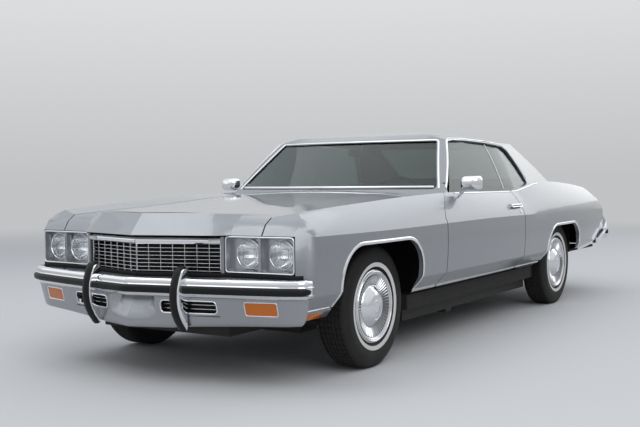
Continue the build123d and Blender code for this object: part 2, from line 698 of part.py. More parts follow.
# Nose: the painted fascia round the grille and the inner lamps
grille_half_width, grille_low, grille_high = 464, 573, 775
fascia_wall = 24
lamp_z, lamp_radius = 694, 68
lamp_places = ((606, -791), (798, -770))
with BuildPart() as nose_panel:
    add(end_limit(nose_block, mid_station))
    add(end_limit(nose_block, mid_station, fascia_wall), mode=Mode.SUBTRACT)
    add(block((-701, 701), (-1000, -600), (500, lip_z - panel_gap)), mode=Mode.INTERSECT)
    add(block((-grille_half_width - 6, grille_half_width + 6), (-1000, -600), (grille_low - 3, lip_z)),
        mode=Mode.SUBTRACT)
    with BuildPart(mode=Mode.PRIVATE) as lamp_bays:
        both_sides((lamp_frame_x[0] - 3, 720), (-1000, -600), (lamp_frame_z[0] - 4, lip_z))
    add(lamp_bays.part, mode=Mode.SUBTRACT)
export_piece(nose_panel.part, "nose_panel")

# Radiator and its support behind the grille
support_depth, support_thickness = 150, 22
with BuildPart() as radiator_support:
    add(end_limit(nose_block, mid_station, support_depth))
    add(end_limit(nose_block, mid_station, support_depth + support_thickness), mode=Mode.SUBTRACT)
    add(block((-690, 690), (-1000, -500), (430, 784)), mode=Mode.INTERSECT)
export_piece(radiator_support.part, "radiator_support")

# Sealed lamps: shallow domed lens on a tapered bowl
with BuildPart() as headlamps:
    for lamp_x, lamp_station in lamp_places:
        for side in (1, -1):
            centre = (side * lamp_x, at(lamp_station), lamp_z)
            with BuildSketch(Plane(origin=centre, x_dir=(1, 0, 0), z_dir=(0, 0, 1))):
                with BuildLine():
                    Line((0, 95), (0, -8))
                    ThreePointArc((0, -8), (40, -5), (lamp_radius - 2, 6))
                    Polyline((lamp_radius - 2, 6), (lamp_radius - 2, 22), (30, 80), (0, 95))
                make_face()
            revolve(axis=Axis(centre, (0, 1, 0)))
export_piece(headlamps.part, "headlamps")

# Lamp bezels: a rounded tray for each pair of lamps, with tapered cells and a divider
bezel_front = (-838, -802)
bezel_depth, cell_depth = 50, 44
bezel_rim, cell_taper = 9, 12
bezel_run = Vector(lamp_frame_x[1] - lamp_frame_x[0], bezel_front[1] - bezel_front[0], 0)
bezel_height = lamp_frame_z[1] - lamp_frame_z[0]
with BuildPart() as bezel:
    frame_plane = Plane(origin=(lamp_frame_x[0], at(bezel_front[0]), lamp_frame_z[0]), x_dir=bezel_run,
                        z_dir=bezel_run.cross(Vector(0, 0, 1)))
    with BuildSketch(frame_plane):
        with Locations((bezel_run.length / 2, bezel_height / 2)):
            RectangleRounded(bezel_run.length, bezel_height, 16)
    extrude(amount=-bezel_depth)
    cell_width = (bezel_run.length - 3 * bezel_rim) / 2
    with BuildSketch(frame_plane):
        with Locations((bezel_run.length / 2, bezel_height / 2)):
            with GridLocations(cell_width + bezel_rim, 1, 2, 1):
                Rectangle(cell_width, bezel_height - 2 * bezel_rim)
    extrude(amount=-cell_depth, taper=cell_taper, mode=Mode.SUBTRACT)
    for lamp_x, lamp_station in lamp_places:
        with BuildSketch(Plane.XZ.offset(-at(-600))):
            with Locations((lamp_x, lamp_z)):
                Circle(lamp_radius + 1)
        extrude(amount=500, mode=Mode.SUBTRACT)
with BuildPart() as lamp_bezels:
    add(bezel.part)
    mirror(bezel.part, about=Plane.YZ)
export_piece(lamp_bezels.part, "lamp_bezels")

# Grille: thin bars in two raked halves that meet at the centre line
grille_recess = 14
grille_depth = 22
bar_height, bar_width = 5, 4
horizontal_bars, vertical_bars = 7, 6
half_run = Vector(grille_half_width, 983 - 848, 0)
header_height, frame_width = 36, 9
mesh_low, mesh_high = grille_low + frame_width, grille_high - header_height
with BuildPart() as grille_half:
    face_plane = Plane(origin=(0, at(-983 + grille_recess), 0), x_dir=half_run,
                       z_dir=half_run.cross(Vector(0, 0, 1)))
    span, mesh_tall, mesh_middle = half_run.length, mesh_high - mesh_low, (mesh_low + mesh_high) / 2
    with BuildSketch(face_plane):
        with Locations((span / 2, (grille_low + grille_high) / 2)):
            Rectangle(span, grille_high - grille_low)
        with Locations((span / 2, mesh_middle)):
            Rectangle(span - 2 * frame_width, mesh_tall, mode=Mode.SUBTRACT)
            with GridLocations(1, mesh_tall / (horizontal_bars + 1), 1, horizontal_bars):
                Rectangle(span, bar_height)
    extrude(amount=-grille_depth)
    with BuildSketch(face_plane):
        with Locations((span / 2, mesh_middle)):
            with GridLocations(span / (vertical_bars + 1), 1, vertical_bars, 1):
                Rectangle(bar_width, mesh_tall)
    extrude(amount=-grille_depth + 6)
    add(block((0, 600), (-1100, -700), (400, 900)), mode=Mode.INTERSECT)
with BuildPart() as grille:
    add(grille_half.part)
    mirror(grille_half.part, about=Plane.YZ)
export_piece(grille.part, "grille")


# Front bumper: plan rows of the upper bar, the lower apron and the rubber strip
bumper_bar = ((0, -1062), (311, -998), (640, -922), (860, -864), (945, -822), (967, -790), (967, -700))
bumper_apron = ((0, -1050), (311, -955), (640, -864), (860, -812), (928, -772), (945, -742), (945, -690))
strip_row = ((0, -front_overhang), (311, -1016), (640, -940), (864, -881), (957, -832), (981, -795), (981, -700))
bumper_end_station = -748
bumper_thickness = 34
strip_low, strip_high = 498, 536
slot_x, slot_z = (190, 500), (390, 458)
signal_x, signal_z = (650, 820), (390, 460)


def stepped(row, amount):
    # A plan row moved back by an amount, and inwards where it runs along the side.
    return tuple((x - amount if x > 900 else x, y + amount) for x, y in row)


def front_levels(amount):
    return ((573, stepped(bumper_bar, 12 + amount)), (562, stepped(bumper_bar, amount)),
            (490, stepped(bumper_bar, amount)), (478, stepped(bumper_bar, 16 + amount)),
            (322, stepped(bumper_apron, amount)))


clear_of_body = end_limit(nose_block, mid_station, -10)
with BuildPart() as front_bumper:
    add(end_limit(reversed(front_levels(0)), -500))
    add(end_limit(((300, stepped(bumper_apron, bumper_thickness)), (490, stepped(bumper_bar, bumper_thickness + 10)),
                   (555, stepped(bumper_bar, bumper_thickness + 10))), -500), mode=Mode.SUBTRACT)
    add(block((-1000, 1000), (-1100, bumper_end_station), (300, 600)), mode=Mode.INTERSECT)
    add(clear_of_body, mode=Mode.SUBTRACT)
    with BuildPart(mode=Mode.PRIVATE) as pockets:
        both_sides(slot_x, (-1100, -700), slot_z)
        both_sides(signal_x, (-1100, -700), signal_z)
    add(pockets.part, mode=Mode.SUBTRACT)
export_piece(front_bumper.part, "front_bumper")

with BuildPart() as turn_signals:
    both_sides((signal_x[0] + 1, signal_x[1] - 1), (-1100, -700), (signal_z[0] + 1, signal_z[1] - 1))
    add(end_limit(reversed(front_levels(3)), -500), mode=Mode.INTERSECT)
    add(end_limit(reversed(front_levels(26)), -500), mode=Mode.SUBTRACT)
export_piece(turn_signals.part, "turn_signals")

with BuildPart() as front_strip:
    with BuildSketch(Plane.XY.offset(strip_low)):
        with BuildLine():
            Polyline(*plan_outline(strip_row, -500, 0), close=True)
        make_face()
        with BuildLine():
            Polyline(*plan_outline(bumper_bar, -400, 0), close=True)
        make_face(mode=Mode.SUBTRACT)
    extrude(amount=strip_high - strip_low)
    add(block((-1000, 1000), (-1100, bumper_end_station), (300, 600)), mode=Mode.INTERSECT)

# Guards: upright blocks with a convex rubber face, standing over the bar
guard_x, guard_width = 311, 72
with BuildPart() as guard:
    with BuildSketch(Plane.YZ.offset(guard_x - guard_width / 2)):
        with BuildLine():
            Line((at(-975), 320), (at(-975), 622))
            Line((at(-975), 622), (at(-1008), 624))
            ThreePointArc((at(-1008), 624), (at(-1052), 470), (at(-990), 320))
            Line((at(-990), 320), (at(-975), 320))
        make_face()
    extrude(amount=guard_width)
    fillet(guard.faces().sort_by(Axis.Y)[0].edges().filter_by(GeomType.CIRCLE), radius=14)
    add(end_limit(reversed(front_levels(0)), -500), mode=Mode.SUBTRACT)
    add(front_strip.part, mode=Mode.SUBTRACT)
with BuildPart() as bumper_guards:
    add(guard.part)
    mirror(guard.part, about=Plane.YZ)
export_piece(bumper_guards.part, "bumper_guards")
export_piece(front_strip.part, "front_strip")

# Rear bumper with the tail lamps let into it
rear_end = length_overall - front_overhang
rear_bar = ((0, rear_end - 16), (600, rear_end - 20), (880, rear_end - 46), (955, rear_end - 90),
            (975, rear_end - 160), (975, 4140))
rear_inner = ((0, 4504), (600, 4500), (862, 4478), (925, 4436), (948, 4390), (948, 4130))
rear_strip_row = ((0, rear_end), (300, rear_end), (604, rear_end - 4), (886, rear_end - 30), (966, rear_end - 80),
                  (989, rear_end - 156), (989, 4140))
tail_lamp_x, tail_lamp_z = (470, 800), (588, 680)
rear_low, rear_high = 476, 712
plate_centre_z = 575
plate_hole_x, plate_hole_z, plate_hole_radius = 178, 121, 3.5


def rear_levels(amount):
    drawn = tuple((x - amount if x > 900 else x, y - amount) for x, y in rear_bar)
    edge = tuple((x - amount - 12 if x > 900 else x, y - amount - 12) for x, y in rear_bar)
    return ((rear_low, edge), (rear_low + 14, drawn), (rear_high - 14, drawn), (rear_high, edge))


with BuildPart() as rear_bumper:
    add(end_limit(rear_levels(0), 4000))
    add(end_limit(((400, rear_inner), (800, rear_inner)), 3900), mode=Mode.SUBTRACT)
    wing_edge = [(y + panel_gap, z) for y, z in bumper_wing_edge]
    add(side_prism(wing_edge + [(4600, 760), (4600, 400), (4128, 400)], -1000, 1000), mode=Mode.INTERSECT)
    with BuildPart(mode=Mode.PRIVATE) as lamp_pockets:
        both_sides(tail_lamp_x, (4300, 4600), tail_lamp_z)
        add(block((-170, 170), (4525, 4600), (498, 652)))
    add(lamp_pockets.part, mode=Mode.SUBTRACT)
    with BuildSketch(Plane.XZ.offset(-at(4600))):
        with Locations((0, plate_centre_z)):
            with GridLocations(plate_hole_x, plate_hole_z, 2, 2):
                Circle(plate_hole_radius)
    extrude(amount=200, mode=Mode.SUBTRACT)
export_piece(rear_bumper.part, "rear_bumper")

with BuildPart() as tail_lamps:
    both_sides((tail_lamp_x[0] + 1, tail_lamp_x[1] - 1), (4300, 4600), (tail_lamp_z[0] + 1, tail_lamp_z[1] - 1))
    add(end_limit(rear_levels(3), 4000), mode=Mode.INTERSECT)
    add(end_limit(rear_levels(30), 4000), mode=Mode.SUBTRACT)
export_piece(tail_lamps.part, "tail_lamps")

with BuildPart() as rear_strip:
    with BuildSketch(Plane.XY.offset(524)):
        with BuildLine():
            Polyline(*plan_outline(rear_strip_row, 4000, 0), close=True)
        make_face()
        with BuildLine():
            Polyline(*plan_outline(rear_bar, 3900, 0), close=True)
        make_face(mode=Mode.SUBTRACT)
    extrude(amount=36)
    add(block((-1000, 1000), (4440, 4600), (400, 800)), mode=Mode.INTERSECT)
    add(block((-171, 171), (4400, 4600), (400, 800)), mode=Mode.SUBTRACT)
export_piece(rear_strip.part, "rear_strip")

# Dashboard, with the steering column through it
column_x = 400
wheel_hub = (column_x, at(1330), 908)
column_tilt = 25
toward_driver = Vector(0, cos(radians(column_tilt)), sin(radians(column_tilt)))
column_length = 600


def column_plane(distance):
    return Plane(origin=Vector(*wheel_hub) + toward_driver * distance, x_dir=(1, 0, 0), z_dir=toward_driver)


with BuildPart() as dashboard:
    with BuildSketch(Plane.YZ.offset(-745)):
        with BuildLine():
            Polyline((at(1066), 720), (at(1066), 990), (at(1170), 992), (at(1250), 965), (at(1262), 900),
                     (at(1200), 850), (at(1215), 700), (at(1120), 690), close=True)
        make_face()
    extrude(amount=1490)
    with BuildSketch(column_plane(-column_length)):
        Circle(36)
    extrude(amount=column_length, mode=Mode.SUBTRACT)
export_piece(dashboard.part, "dashboard")

with BuildPart() as steering_column:
    with BuildSketch(column_plane(-column_length)):
        Circle(30)
    extrude(amount=column_length - 40)
export_piece(steering_column.part, "steering_column")

rim_circle_radius, rim_tube_radius = 187, 11
with BuildPart() as steering_wheel:
    with BuildSketch(Plane(origin=Vector(*wheel_hub) + Vector(rim_circle_radius, 0, 0), x_dir=(1, 0, 0),
                           z_dir=toward_driver.cross(Vector(1, 0, 0)))):
        Circle(rim_tube_radius)
    revolve(axis=Axis(wheel_hub, toward_driver))
    with BuildSketch(column_plane(-34)):
        Circle(42)
    extrude(amount=30)
    with BuildSketch(column_plane(-20)):
        Rectangle(2 * rim_circle_radius - 4, 34)
        with Locations((0, -60)):
            Rectangle(30, 120)
    extrude(amount=12)
export_piece(steering_wheel.part, "steering_wheel")

# Seats as closed forms: side-view profile (station, z) and half width
front_seat = ((1500, 350), (1480, 500), (1560, 535), (1960, 500), (2090, 860), (2190, 860), (2215, 700),
              (2130, 420), (2090, 330))
rear_seat = ((2410, 300), (2400, 590), (2450, 610), (2850, 560), (2960, 960), (3030, 965), (3030, 546),
             (2972, 546), (2972, 496), (2620, 496), (2620, 300))
for name, outline, half_width in (("front_bench", front_seat, 655), ("rear_bench", rear_seat, 588)):
    with BuildPart() as bench:
        with BuildSketch(Plane.YZ.offset(-half_width)) as profile:
            with BuildLine():
                Polyline(*[(at(y), z) for y, z in outline], close=True)
            make_face()
            fillet(profile.vertices(), radius=22)
        extrude(amount=2 * half_width)
        add(block((-152, 152), (1400, 2662), (200, 432)), mode=Mode.SUBTRACT)
    export_piece(bench.part, name)

# Door mirrors and handles
mirror_head = (998, 1130, 1036)
mirror_foot = (892, 1165, 944)
with BuildPart() as mirror_piece:
    with BuildSketch(Plane.XZ.offset(-at(mirror_head[1] + 34))):
        with Locations((mirror_head[0], mirror_head[2])):
            RectangleRounded(144, 96, 26)
    extrude(amount=76, taper=15)
    arm_run = Vector(mirror_head) - Vector(mirror_foot)
    with BuildSketch(Plane(origin=(mirror_foot[0], at(mirror_foot[1]), mirror_foot[2]), z_dir=arm_run)):
        Circle(11)
    extrude(amount=arm_run.length)
    add(body_outer, mode=Mode.SUBTRACT)
    add(door_glass.part, mode=Mode.SUBTRACT)
export_pair(mirror_piece.part, "mirror")

handle_y, handle_z = (1872, 2078), 864
with BuildPart() as handle:
    add(block((920, 1060), handle_y, (handle_z - 11, handle_z + 11)))
    with BuildPart(mode=Mode.PRIVATE) as grip:
        add(body_envelope(-24, 0))
    add(grip.part, mode=Mode.INTERSECT)
    add(body_outer, mode=Mode.SUBTRACT)
export_pair(handle.part, "door_handle")
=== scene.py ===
import json
import math

import bmesh
import bpy
from mathutils import Matrix, Vector
from mathutils.bvhtree import BVHTree


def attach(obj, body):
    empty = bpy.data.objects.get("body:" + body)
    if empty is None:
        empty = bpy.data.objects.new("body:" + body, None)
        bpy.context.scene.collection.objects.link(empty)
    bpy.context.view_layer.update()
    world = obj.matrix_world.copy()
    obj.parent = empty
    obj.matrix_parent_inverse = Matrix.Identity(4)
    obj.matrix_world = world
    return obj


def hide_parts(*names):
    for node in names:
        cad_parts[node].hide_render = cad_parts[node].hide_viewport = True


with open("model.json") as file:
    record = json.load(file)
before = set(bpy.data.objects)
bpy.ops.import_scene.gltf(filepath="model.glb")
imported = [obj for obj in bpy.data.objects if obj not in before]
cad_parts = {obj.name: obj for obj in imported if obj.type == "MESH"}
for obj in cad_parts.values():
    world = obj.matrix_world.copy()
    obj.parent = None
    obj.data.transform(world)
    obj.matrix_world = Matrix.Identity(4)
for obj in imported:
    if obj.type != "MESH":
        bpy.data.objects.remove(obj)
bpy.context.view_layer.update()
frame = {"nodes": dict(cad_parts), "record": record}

nodes = frame["nodes"]
bodyOfNode = {node: body for body, names in frame["record"]["behaviour"]["bodies"].items() for node in names}
slotOfNode = {part["node"]: part["material_slot"] for part in frame["record"]["subparts"]}
wheelPlaces = ("front_left", "front_right", "rear_left", "rear_right")
sides = (("left", 1), ("right", -1))
frontAxleY = -1.740
wheelbase = 3.150
upward, forward, rearward = Vector((0, 0, 1)), Vector((0, -1, 0)), Vector((0, 1, 0))


def at(station):  # a station in metres behind the front axle
    return frontAxleY + station


def spot(x, station, z):
    return Vector((x, at(station), z))


print("frame loaded")

cameraSetup = {
    "place": (3.523, at(-4.704), 1.079),
    "yaw": -32.39, "pitch": -2.13, "roll": -0.59,  # degrees
    "lens": 53.59, "sensor": 36.0, "clipEnd": 200,
}


def addObject(name, data, material=None):
    piece = bpy.data.objects.new(name, data)
    bpy.context.collection.objects.link(piece)
    if material:
        data.materials.append(finish[material])
    return piece


def makeCamera(setup):
    data = bpy.data.cameras.new("photoCamera")
    data.lens, data.sensor_width, data.clip_end = setup["lens"], setup["sensor"], setup["clipEnd"]
    camera = addObject("photoCamera", data)
    yaw, pitch, roll = (math.radians(setup[k]) for k in ("yaw", "pitch", "roll"))
    ahead = Vector((math.sin(yaw) * math.cos(pitch), math.cos(yaw) * math.cos(pitch), math.sin(pitch)))
    right = Vector((math.cos(yaw), -math.sin(yaw), 0))
    up = right.cross(ahead)
    rolledRight = right * math.cos(roll) + up * math.sin(roll)
    rolledUp = up * math.cos(roll) - right * math.sin(roll)
    turn = Matrix((rolledRight, rolledUp, -ahead)).transposed().to_4x4()
    camera.matrix_world = Matrix.Translation(Vector(setup["place"])) @ turn
    bpy.context.scene.camera = camera


makeCamera(cameraSetup)

stageSetup = {
    "floorSize": 160.0, "floorColor": (0.66, 0.665, 0.67, 1), "floorRoughness": 0.9,
    "fadeFrom": 6.0, "fadeTo": 17.0,  # distance at which the floor runs into the backdrop
    "backdrop": ((0.0, (0.53, 0.54, 0.55, 1)), (0.09, (0.62, 0.63, 0.64, 1)), (0.24, (0.78, 0.79, 0.80, 1)),
                 (0.5, (0.80, 0.84, 0.89, 1)), (1.0, (0.88, 0.91, 0.95, 1))),
    "sky": ((0.0, (0.30, 0.30, 0.30, 1)), (0.03, (0.74, 0.76, 0.78, 1)), (0.9, (0.62, 0.68, 0.78, 1))),
    "worldLight": 0.55,
    # power, place, size
    "lights": {
        "key": (430, (7.5, -7.0, 7.5), 9.0), "fill": (62, (-8.0, -5.0, 5.0), 8.0),
        "nose": (105, (-2.5, -6.3, 7.4), 4.5), "top": (210, (0.0, 0.5, 7.5), 12.0),
        "rear": (190, (3.0, 9.0, 6.0), 9.0),
    },
    "lightTarget": (0, 0, 0.6),
}


def addNode(tree, kind, settings=None, **values):
    # a node with its settings, and its inputs given as values or as the sockets that feed them
    node = tree.nodes.new(kind)
    for name, value in (settings or {}).items():
        setattr(node, name, value)
    for name, value in values.items():
        feed(tree, node.inputs[name.replace("_", " ")], value)
    return node


def feed(tree, socket, value):
    if isinstance(value, bpy.types.NodeSocket):
        tree.links.new(value, socket)
    else:
        socket.default_value = value


def newMaterial(name, **values):
    material = bpy.data.materials.new(name)
    material.use_nodes = True
    tree = material.node_tree
    shader = tree.nodes["Principled BSDF"]
    for label, value in values.items():
        shader.inputs[label.replace("_", " ")].default_value = value
    return material, tree, shader


def mathNode(tree, operation, first, second):
    node = addNode(tree, "ShaderNodeMath", {"operation": operation})
    feed(tree, node.inputs[0], first)
    feed(tree, node.inputs[1], second)
    return node.outputs[0]


def mixColors(tree, share, first, second):
    node = addNode(tree, "ShaderNodeMix", {"data_type": "RGBA"}, Factor=share)
    feed(tree, node.inputs[6], first)
    feed(tree, node.inputs[7], second)
    return node.outputs[2]


def mixShaders(tree, share, first, second, end):
    mix = tree.nodes.new("ShaderNodeMixShader")
    for socket, value in zip(mix.inputs, (share, first, second)):
        tree.links.new(value, socket)
    tree.links.new(mix.outputs[0], tree.nodes[end].inputs["Surface"])


def objectPlace(tree):
    return tree.nodes.new("ShaderNodeTexCoord").outputs["Object"]


def heightRamp(tree, place, stops):  # colours by height above the horizon
    height = addNode(tree, "ShaderNodeSeparateXYZ", Vector=place)
    ramp = addNode(tree, "ShaderNodeValToRGB", Fac=height.outputs["Z"])
    elements = ramp.color_ramp.elements
    elements[0].position, elements[0].color = stops[0]
    elements[1].position, elements[1].color = stops[-1]
    for position, color in stops[1:-1]:
        elements.new(position).color = color
    return ramp.outputs[0]


def seenRay(tree):  # 1 for what the camera sees, also in metal and through glass
    path = tree.nodes.new("ShaderNodeLightPath")
    seen = mathNode(tree, "MAXIMUM", path.outputs["Is Camera Ray"], path.outputs["Is Glossy Ray"])
    return mathNode(tree, "MAXIMUM", seen, path.outputs["Is Transmission Ray"])


def buildWorld(setup):  # a soft sky for light, and a pale backdrop to look at
    world = bpy.data.worlds.new("studio")
    bpy.context.scene.world = world
    world.use_nodes = True
    tree = world.node_tree
    background = tree.nodes["Background"]
    background.inputs["Strength"].default_value = setup["worldLight"]
    place = tree.nodes.new("ShaderNodeTexCoord").outputs["Generated"]
    tree.links.new(heightRamp(tree, place, setup["sky"]), background.inputs["Color"])
    shown = addNode(tree, "ShaderNodeBackground", Color=heightRamp(tree, place, setup["backdrop"]))
    mixShaders(tree, seenRay(tree), background.outputs[0], shown.outputs[0], "World Output")


def buildStage(setup):
    size = setup["floorSize"] / 2
    mesh = bpy.data.meshes.new("floor")
    mesh.from_pydata([(-size, -size, 0), (size, -size, 0), (size, size, 0), (-size, size, 0)], [], [(0, 1, 2, 3)])
    material, tree, shader = newMaterial("paleFloor", Base_Color=setup["floorColor"],
                                         Roughness=setup["floorRoughness"])
    distance = tree.nodes.new("ShaderNodeVectorMath")
    distance.operation = "LENGTH"
    tree.links.new(objectPlace(tree), distance.inputs[0])
    fade = addNode(tree, "ShaderNodeMapRange", {"interpolation_type": "SMOOTHSTEP"}, Value=distance.outputs["Value"],
                   From_Min=setup["fadeFrom"], From_Max=setup["fadeTo"])
    far = addNode(tree, "ShaderNodeEmission", Color=setup["backdrop"][0][1])
    share = mathNode(tree, "MULTIPLY", fade.outputs["Result"], seenRay(tree))
    mixShaders(tree, share, shader.outputs[0], far.outputs[0], "Material Output")
    mesh.materials.append(material)
    addObject("floor", mesh)
    buildWorld(setup)
    for name, (power, place, size) in setup["lights"].items():
        data = bpy.data.lights.new(name, "AREA")
        data.energy, data.size = power, size
        light = addObject(name, data)
        light.location = place
        aim = Vector(setup["lightTarget"]) - Vector(place)
        light.rotation_euler = aim.to_track_quat("-Z", "Y").to_euler()


buildStage(stageSetup)
bpy.context.scene.view_settings.view_transform = "Standard"
print("camera and stage made")


# Shader groups that several finishes share
def shaderGroup(name, inputs, outputs):
    tree = bpy.data.node_groups.new(name, "ShaderNodeTree")
    for label, value in inputs.items():
        kind = "NodeSocketColor" if isinstance(value, tuple) else "NodeSocketFloat"
        socket = tree.interface.new_socket(name=label, in_out="INPUT", socket_type=kind)
        socket.default_value = value
    for label, kind in outputs.items():
        tree.interface.new_socket(name=label, in_out="OUTPUT", socket_type=kind)
    return tree, tree.nodes.new("NodeGroupInput").outputs, tree.nodes.new("NodeGroupOutput").inputs


def buildGrainGroup():  # fine uneven surface: a roughness that wanders and a height for bump
    tree, given, made = shaderGroup("surfaceGrain", {"Scale": 60.0, "Roughness": 0.4, "Spread": 0.1},
                                    {"Roughness": "NodeSocketFloat", "Height": "NodeSocketFloat"})
    noise = addNode(tree, "ShaderNodeTexNoise", Detail=4.0, Vector=objectPlace(tree), Scale=given["Scale"])
    swing = mathNode(tree, "SUBTRACT", noise.outputs["Fac"], 0.5)
    spread = mathNode(tree, "MULTIPLY", swing, given["Spread"])
    tree.links.new(mathNode(tree, "ADD", given["Roughness"], spread), made["Roughness"])
    tree.links.new(noise.outputs["Fac"], made["Height"])
    return tree


def buildDustGroup():  # road dust that thickens towards the ground, as a mixed colour and a mask
    tree, given, made = shaderGroup(
        "roadDust", {"Clean": (0.5, 0.5, 0.5, 1), "Dust": (0.35, 0.33, 0.3, 1), "Top": 0.5, "Amount": 0.3},
        {"Color": "NodeSocketColor", "Mask": "NodeSocketFloat"})
    place = objectPlace(tree)
    parts = addNode(tree, "ShaderNodeSeparateXYZ", Vector=place)
    low = mathNode(tree, "SUBTRACT", given["Top"], parts.outputs["Z"])
    share = mathNode(tree, "DIVIDE", low, given["Top"])
    noise = addNode(tree, "ShaderNodeTexNoise", Scale=9.0, Detail=6.0, Vector=place)
    patchy = mathNode(tree, "MULTIPLY", share, mathNode(tree, "ADD", noise.outputs["Fac"], 0.35))
    mask = addNode(tree, "ShaderNodeClamp", Value=mathNode(tree, "MULTIPLY", patchy, given["Amount"])).outputs[0]
    tree.links.new(mixColors(tree, mask, given["Clean"], given["Dust"]), made["Color"])
    tree.links.new(mask, made["Mask"])
    return tree


surfaceGrain = buildGrainGroup()
roadDust = buildDustGroup()


def placeGroup(tree, group, **values):
    return addNode(tree, "ShaderNodeGroup", {"node_tree": group}, **values).outputs


def addBump(tree, height, strength, distance):
    bump = addNode(tree, "ShaderNodeBump", Strength=strength, Distance=distance, Height=height)
    tree.links.new(bump.outputs["Normal"], tree.nodes["Principled BSDF"].inputs["Normal"])


def grainRoughness(tree, scale, roughness, spread):
    grain = placeGroup(tree, surfaceGrain, Scale=scale, Roughness=roughness, Spread=spread)
    tree.links.new(grain["Roughness"], tree.nodes["Principled BSDF"].inputs["Roughness"])
    return grain["Height"]


coatRoughness = 0.05
dullSpecular = 0.22
dustTop = 0.75
bumpDistance = 0.001

# Every finish: base colour, metallic, roughness, its spread, grain scale, bump strength, coat, dust amount
finishes = {
    "brightChrome": ((0.80, 0.81, 0.83), 1.0, 0.07, 0.05, 40, 0.0, 0.0, 0.15),
    "bumperPaint": ((0.36, 0.375, 0.40), 0.85, 0.24, 0.08, 60, 0.02, 0.0, 0.35),
    "brushedCover": ((0.66, 0.67, 0.69), 1.0, 0.20, 0.10, 300, 0.05, 0.0, 0.25),
    "flutedRing": ((0.13, 0.135, 0.145), 1.0, 0.30, 0.10, 200, 0.05, 0.0, 0.3),
    "tyreRubber": ((0.007, 0.007, 0.0075), 0.0, 0.66, 0.25, 180, 0.25, 0.0, 0.07),
    "whiteBand": ((0.74, 0.73, 0.70), 0.0, 0.55, 0.15, 120, 0.05, 0.0, 0.35),
    "blackRubber": ((0.005, 0.005, 0.0055), 0.0, 0.42, 0.12, 150, 0.15, 0.0, 0.03),
    "amberLens": ((0.56, 0.135, 0.003), 0.0, 0.16, 0.04, 40, 0.0, 0.25, 0.0),
    "redLens": ((0.42, 0.008, 0.01), 0.0, 0.14, 0.04, 40, 0.0, 0.6, 0.1),
    "blackSteel": ((0.014, 0.014, 0.015), 0.2, 0.6, 0.2, 70, 0.15, 0.0, 0.12),
    "engineCasting": ((0.05, 0.065, 0.09), 0.35, 0.5, 0.2, 90, 0.3, 0.0, 0.2),
    "exhaustSteel": ((0.26, 0.24, 0.22), 0.8, 0.5, 0.25, 50, 0.2, 0.0, 0.5),
    "tankSteel": ((0.33, 0.33, 0.33), 0.7, 0.45, 0.2, 50, 0.1, 0.0, 0.6),
    "underseal": ((0.010, 0.010, 0.011), 0.0, 0.8, 0.15, 120, 0.5, 0.0, 0.10),
    "flatBlack": ((0.008, 0.008, 0.009), 0.0, 0.6, 0.15, 120, 0.1, 0.0, 0.03),
    "dashPlastic": ((0.035, 0.035, 0.038), 0.0, 0.5, 0.12, 400, 0.35, 0.0, 0.0),
    "wheelPlastic": ((0.03, 0.03, 0.032), 0.0, 0.35, 0.1, 300, 0.1, 0.0, 0.0),
    "carpet": ((0.05, 0.05, 0.055), 0.0, 0.95, 0.05, 500, 0.8, 0.0, 0.0),
    "headliner": ((0.07, 0.07, 0.068), 0.0, 0.9, 0.05, 400, 0.3, 0.0, 0.0),
    "plateBlank": ((0.70, 0.70, 0.68), 0.1, 0.42, 0.1, 60, 0.05, 0.0, 0.15),
    "bezelSilver": ((0.42, 0.43, 0.45), 0.9, 0.24, 0.05, 80, 0.03, 0.0, 0.05),
    "lampSilver": ((0.86, 0.87, 0.88), 1.0, 0.10, 0.05, 60, 0.0, 0.0, 0.0),
    "mirrorFace": ((0.75, 0.78, 0.80), 1.0, 0.03, 0.02, 30, 0.0, 0.0, 0.0),
    "whitePaint": ((0.75, 0.75, 0.73), 0.0, 0.35, 0.1, 60, 0.02, 0.3, 0.1),
}
dullFinishes = {"tyreRubber", "blackRubber", "flatBlack", "underseal", "blackSteel", "dashPlastic", "carpet",
                "headliner"}


def plainFinish(name):
    color, metallic, roughness, spread, scale, bumpStrength, coat, dustAmount = finishes[name]
    material, tree, shader = newMaterial(name, Metallic=metallic)
    height = grainRoughness(tree, scale, roughness, spread)
    dust = placeGroup(tree, roadDust, Clean=color + (1,), Top=dustTop, Amount=dustAmount)
    tree.links.new(dust["Color"], shader.inputs["Base Color"])
    if name in dullFinishes:
        shader.inputs["Specular IOR Level"].default_value = dullSpecular
    if coat:
        shader.inputs["Coat Weight"].default_value = coat
        shader.inputs["Coat Roughness"].default_value = coatRoughness
    if bumpStrength:
        addBump(tree, height, bumpStrength, bumpDistance)
    return material


def silverPaint():  # metallic body colour: fine flakes under a clear coat
    material, tree, shader = newMaterial("silverPaint", Metallic=0.55, Coat_Weight=0.9, Coat_Roughness=coatRoughness)
    flakes = addNode(tree, "ShaderNodeTexVoronoi", Scale=900.0, Vector=objectPlace(tree)).outputs["Distance"]
    tone = mixColors(tree, mathNode(tree, "MULTIPLY", flakes, 1.1), (0.165, 0.177, 0.194, 1),
                     (0.315, 0.330, 0.350, 1))
    dust = placeGroup(tree, roadDust, Dust=(0.27, 0.27, 0.27, 1), Top=0.62, Amount=0.55, Clean=tone)
    tree.links.new(dust["Color"], shader.inputs["Base Color"])
    grainRoughness(tree, 24.0, 0.34, 0.08)
    addBump(tree, flakes, 0.04, 0.0004)
    return material


def clearGlass(name, tint, roughness, shine=0.5):
    material, tree = newMaterial(name, Base_Color=tint, Transmission_Weight=1.0, IOR=1.45,
                                 Specular_IOR_Level=shine)[:2]
    grainRoughness(tree, 6.0, roughness, 0.02)
    return material


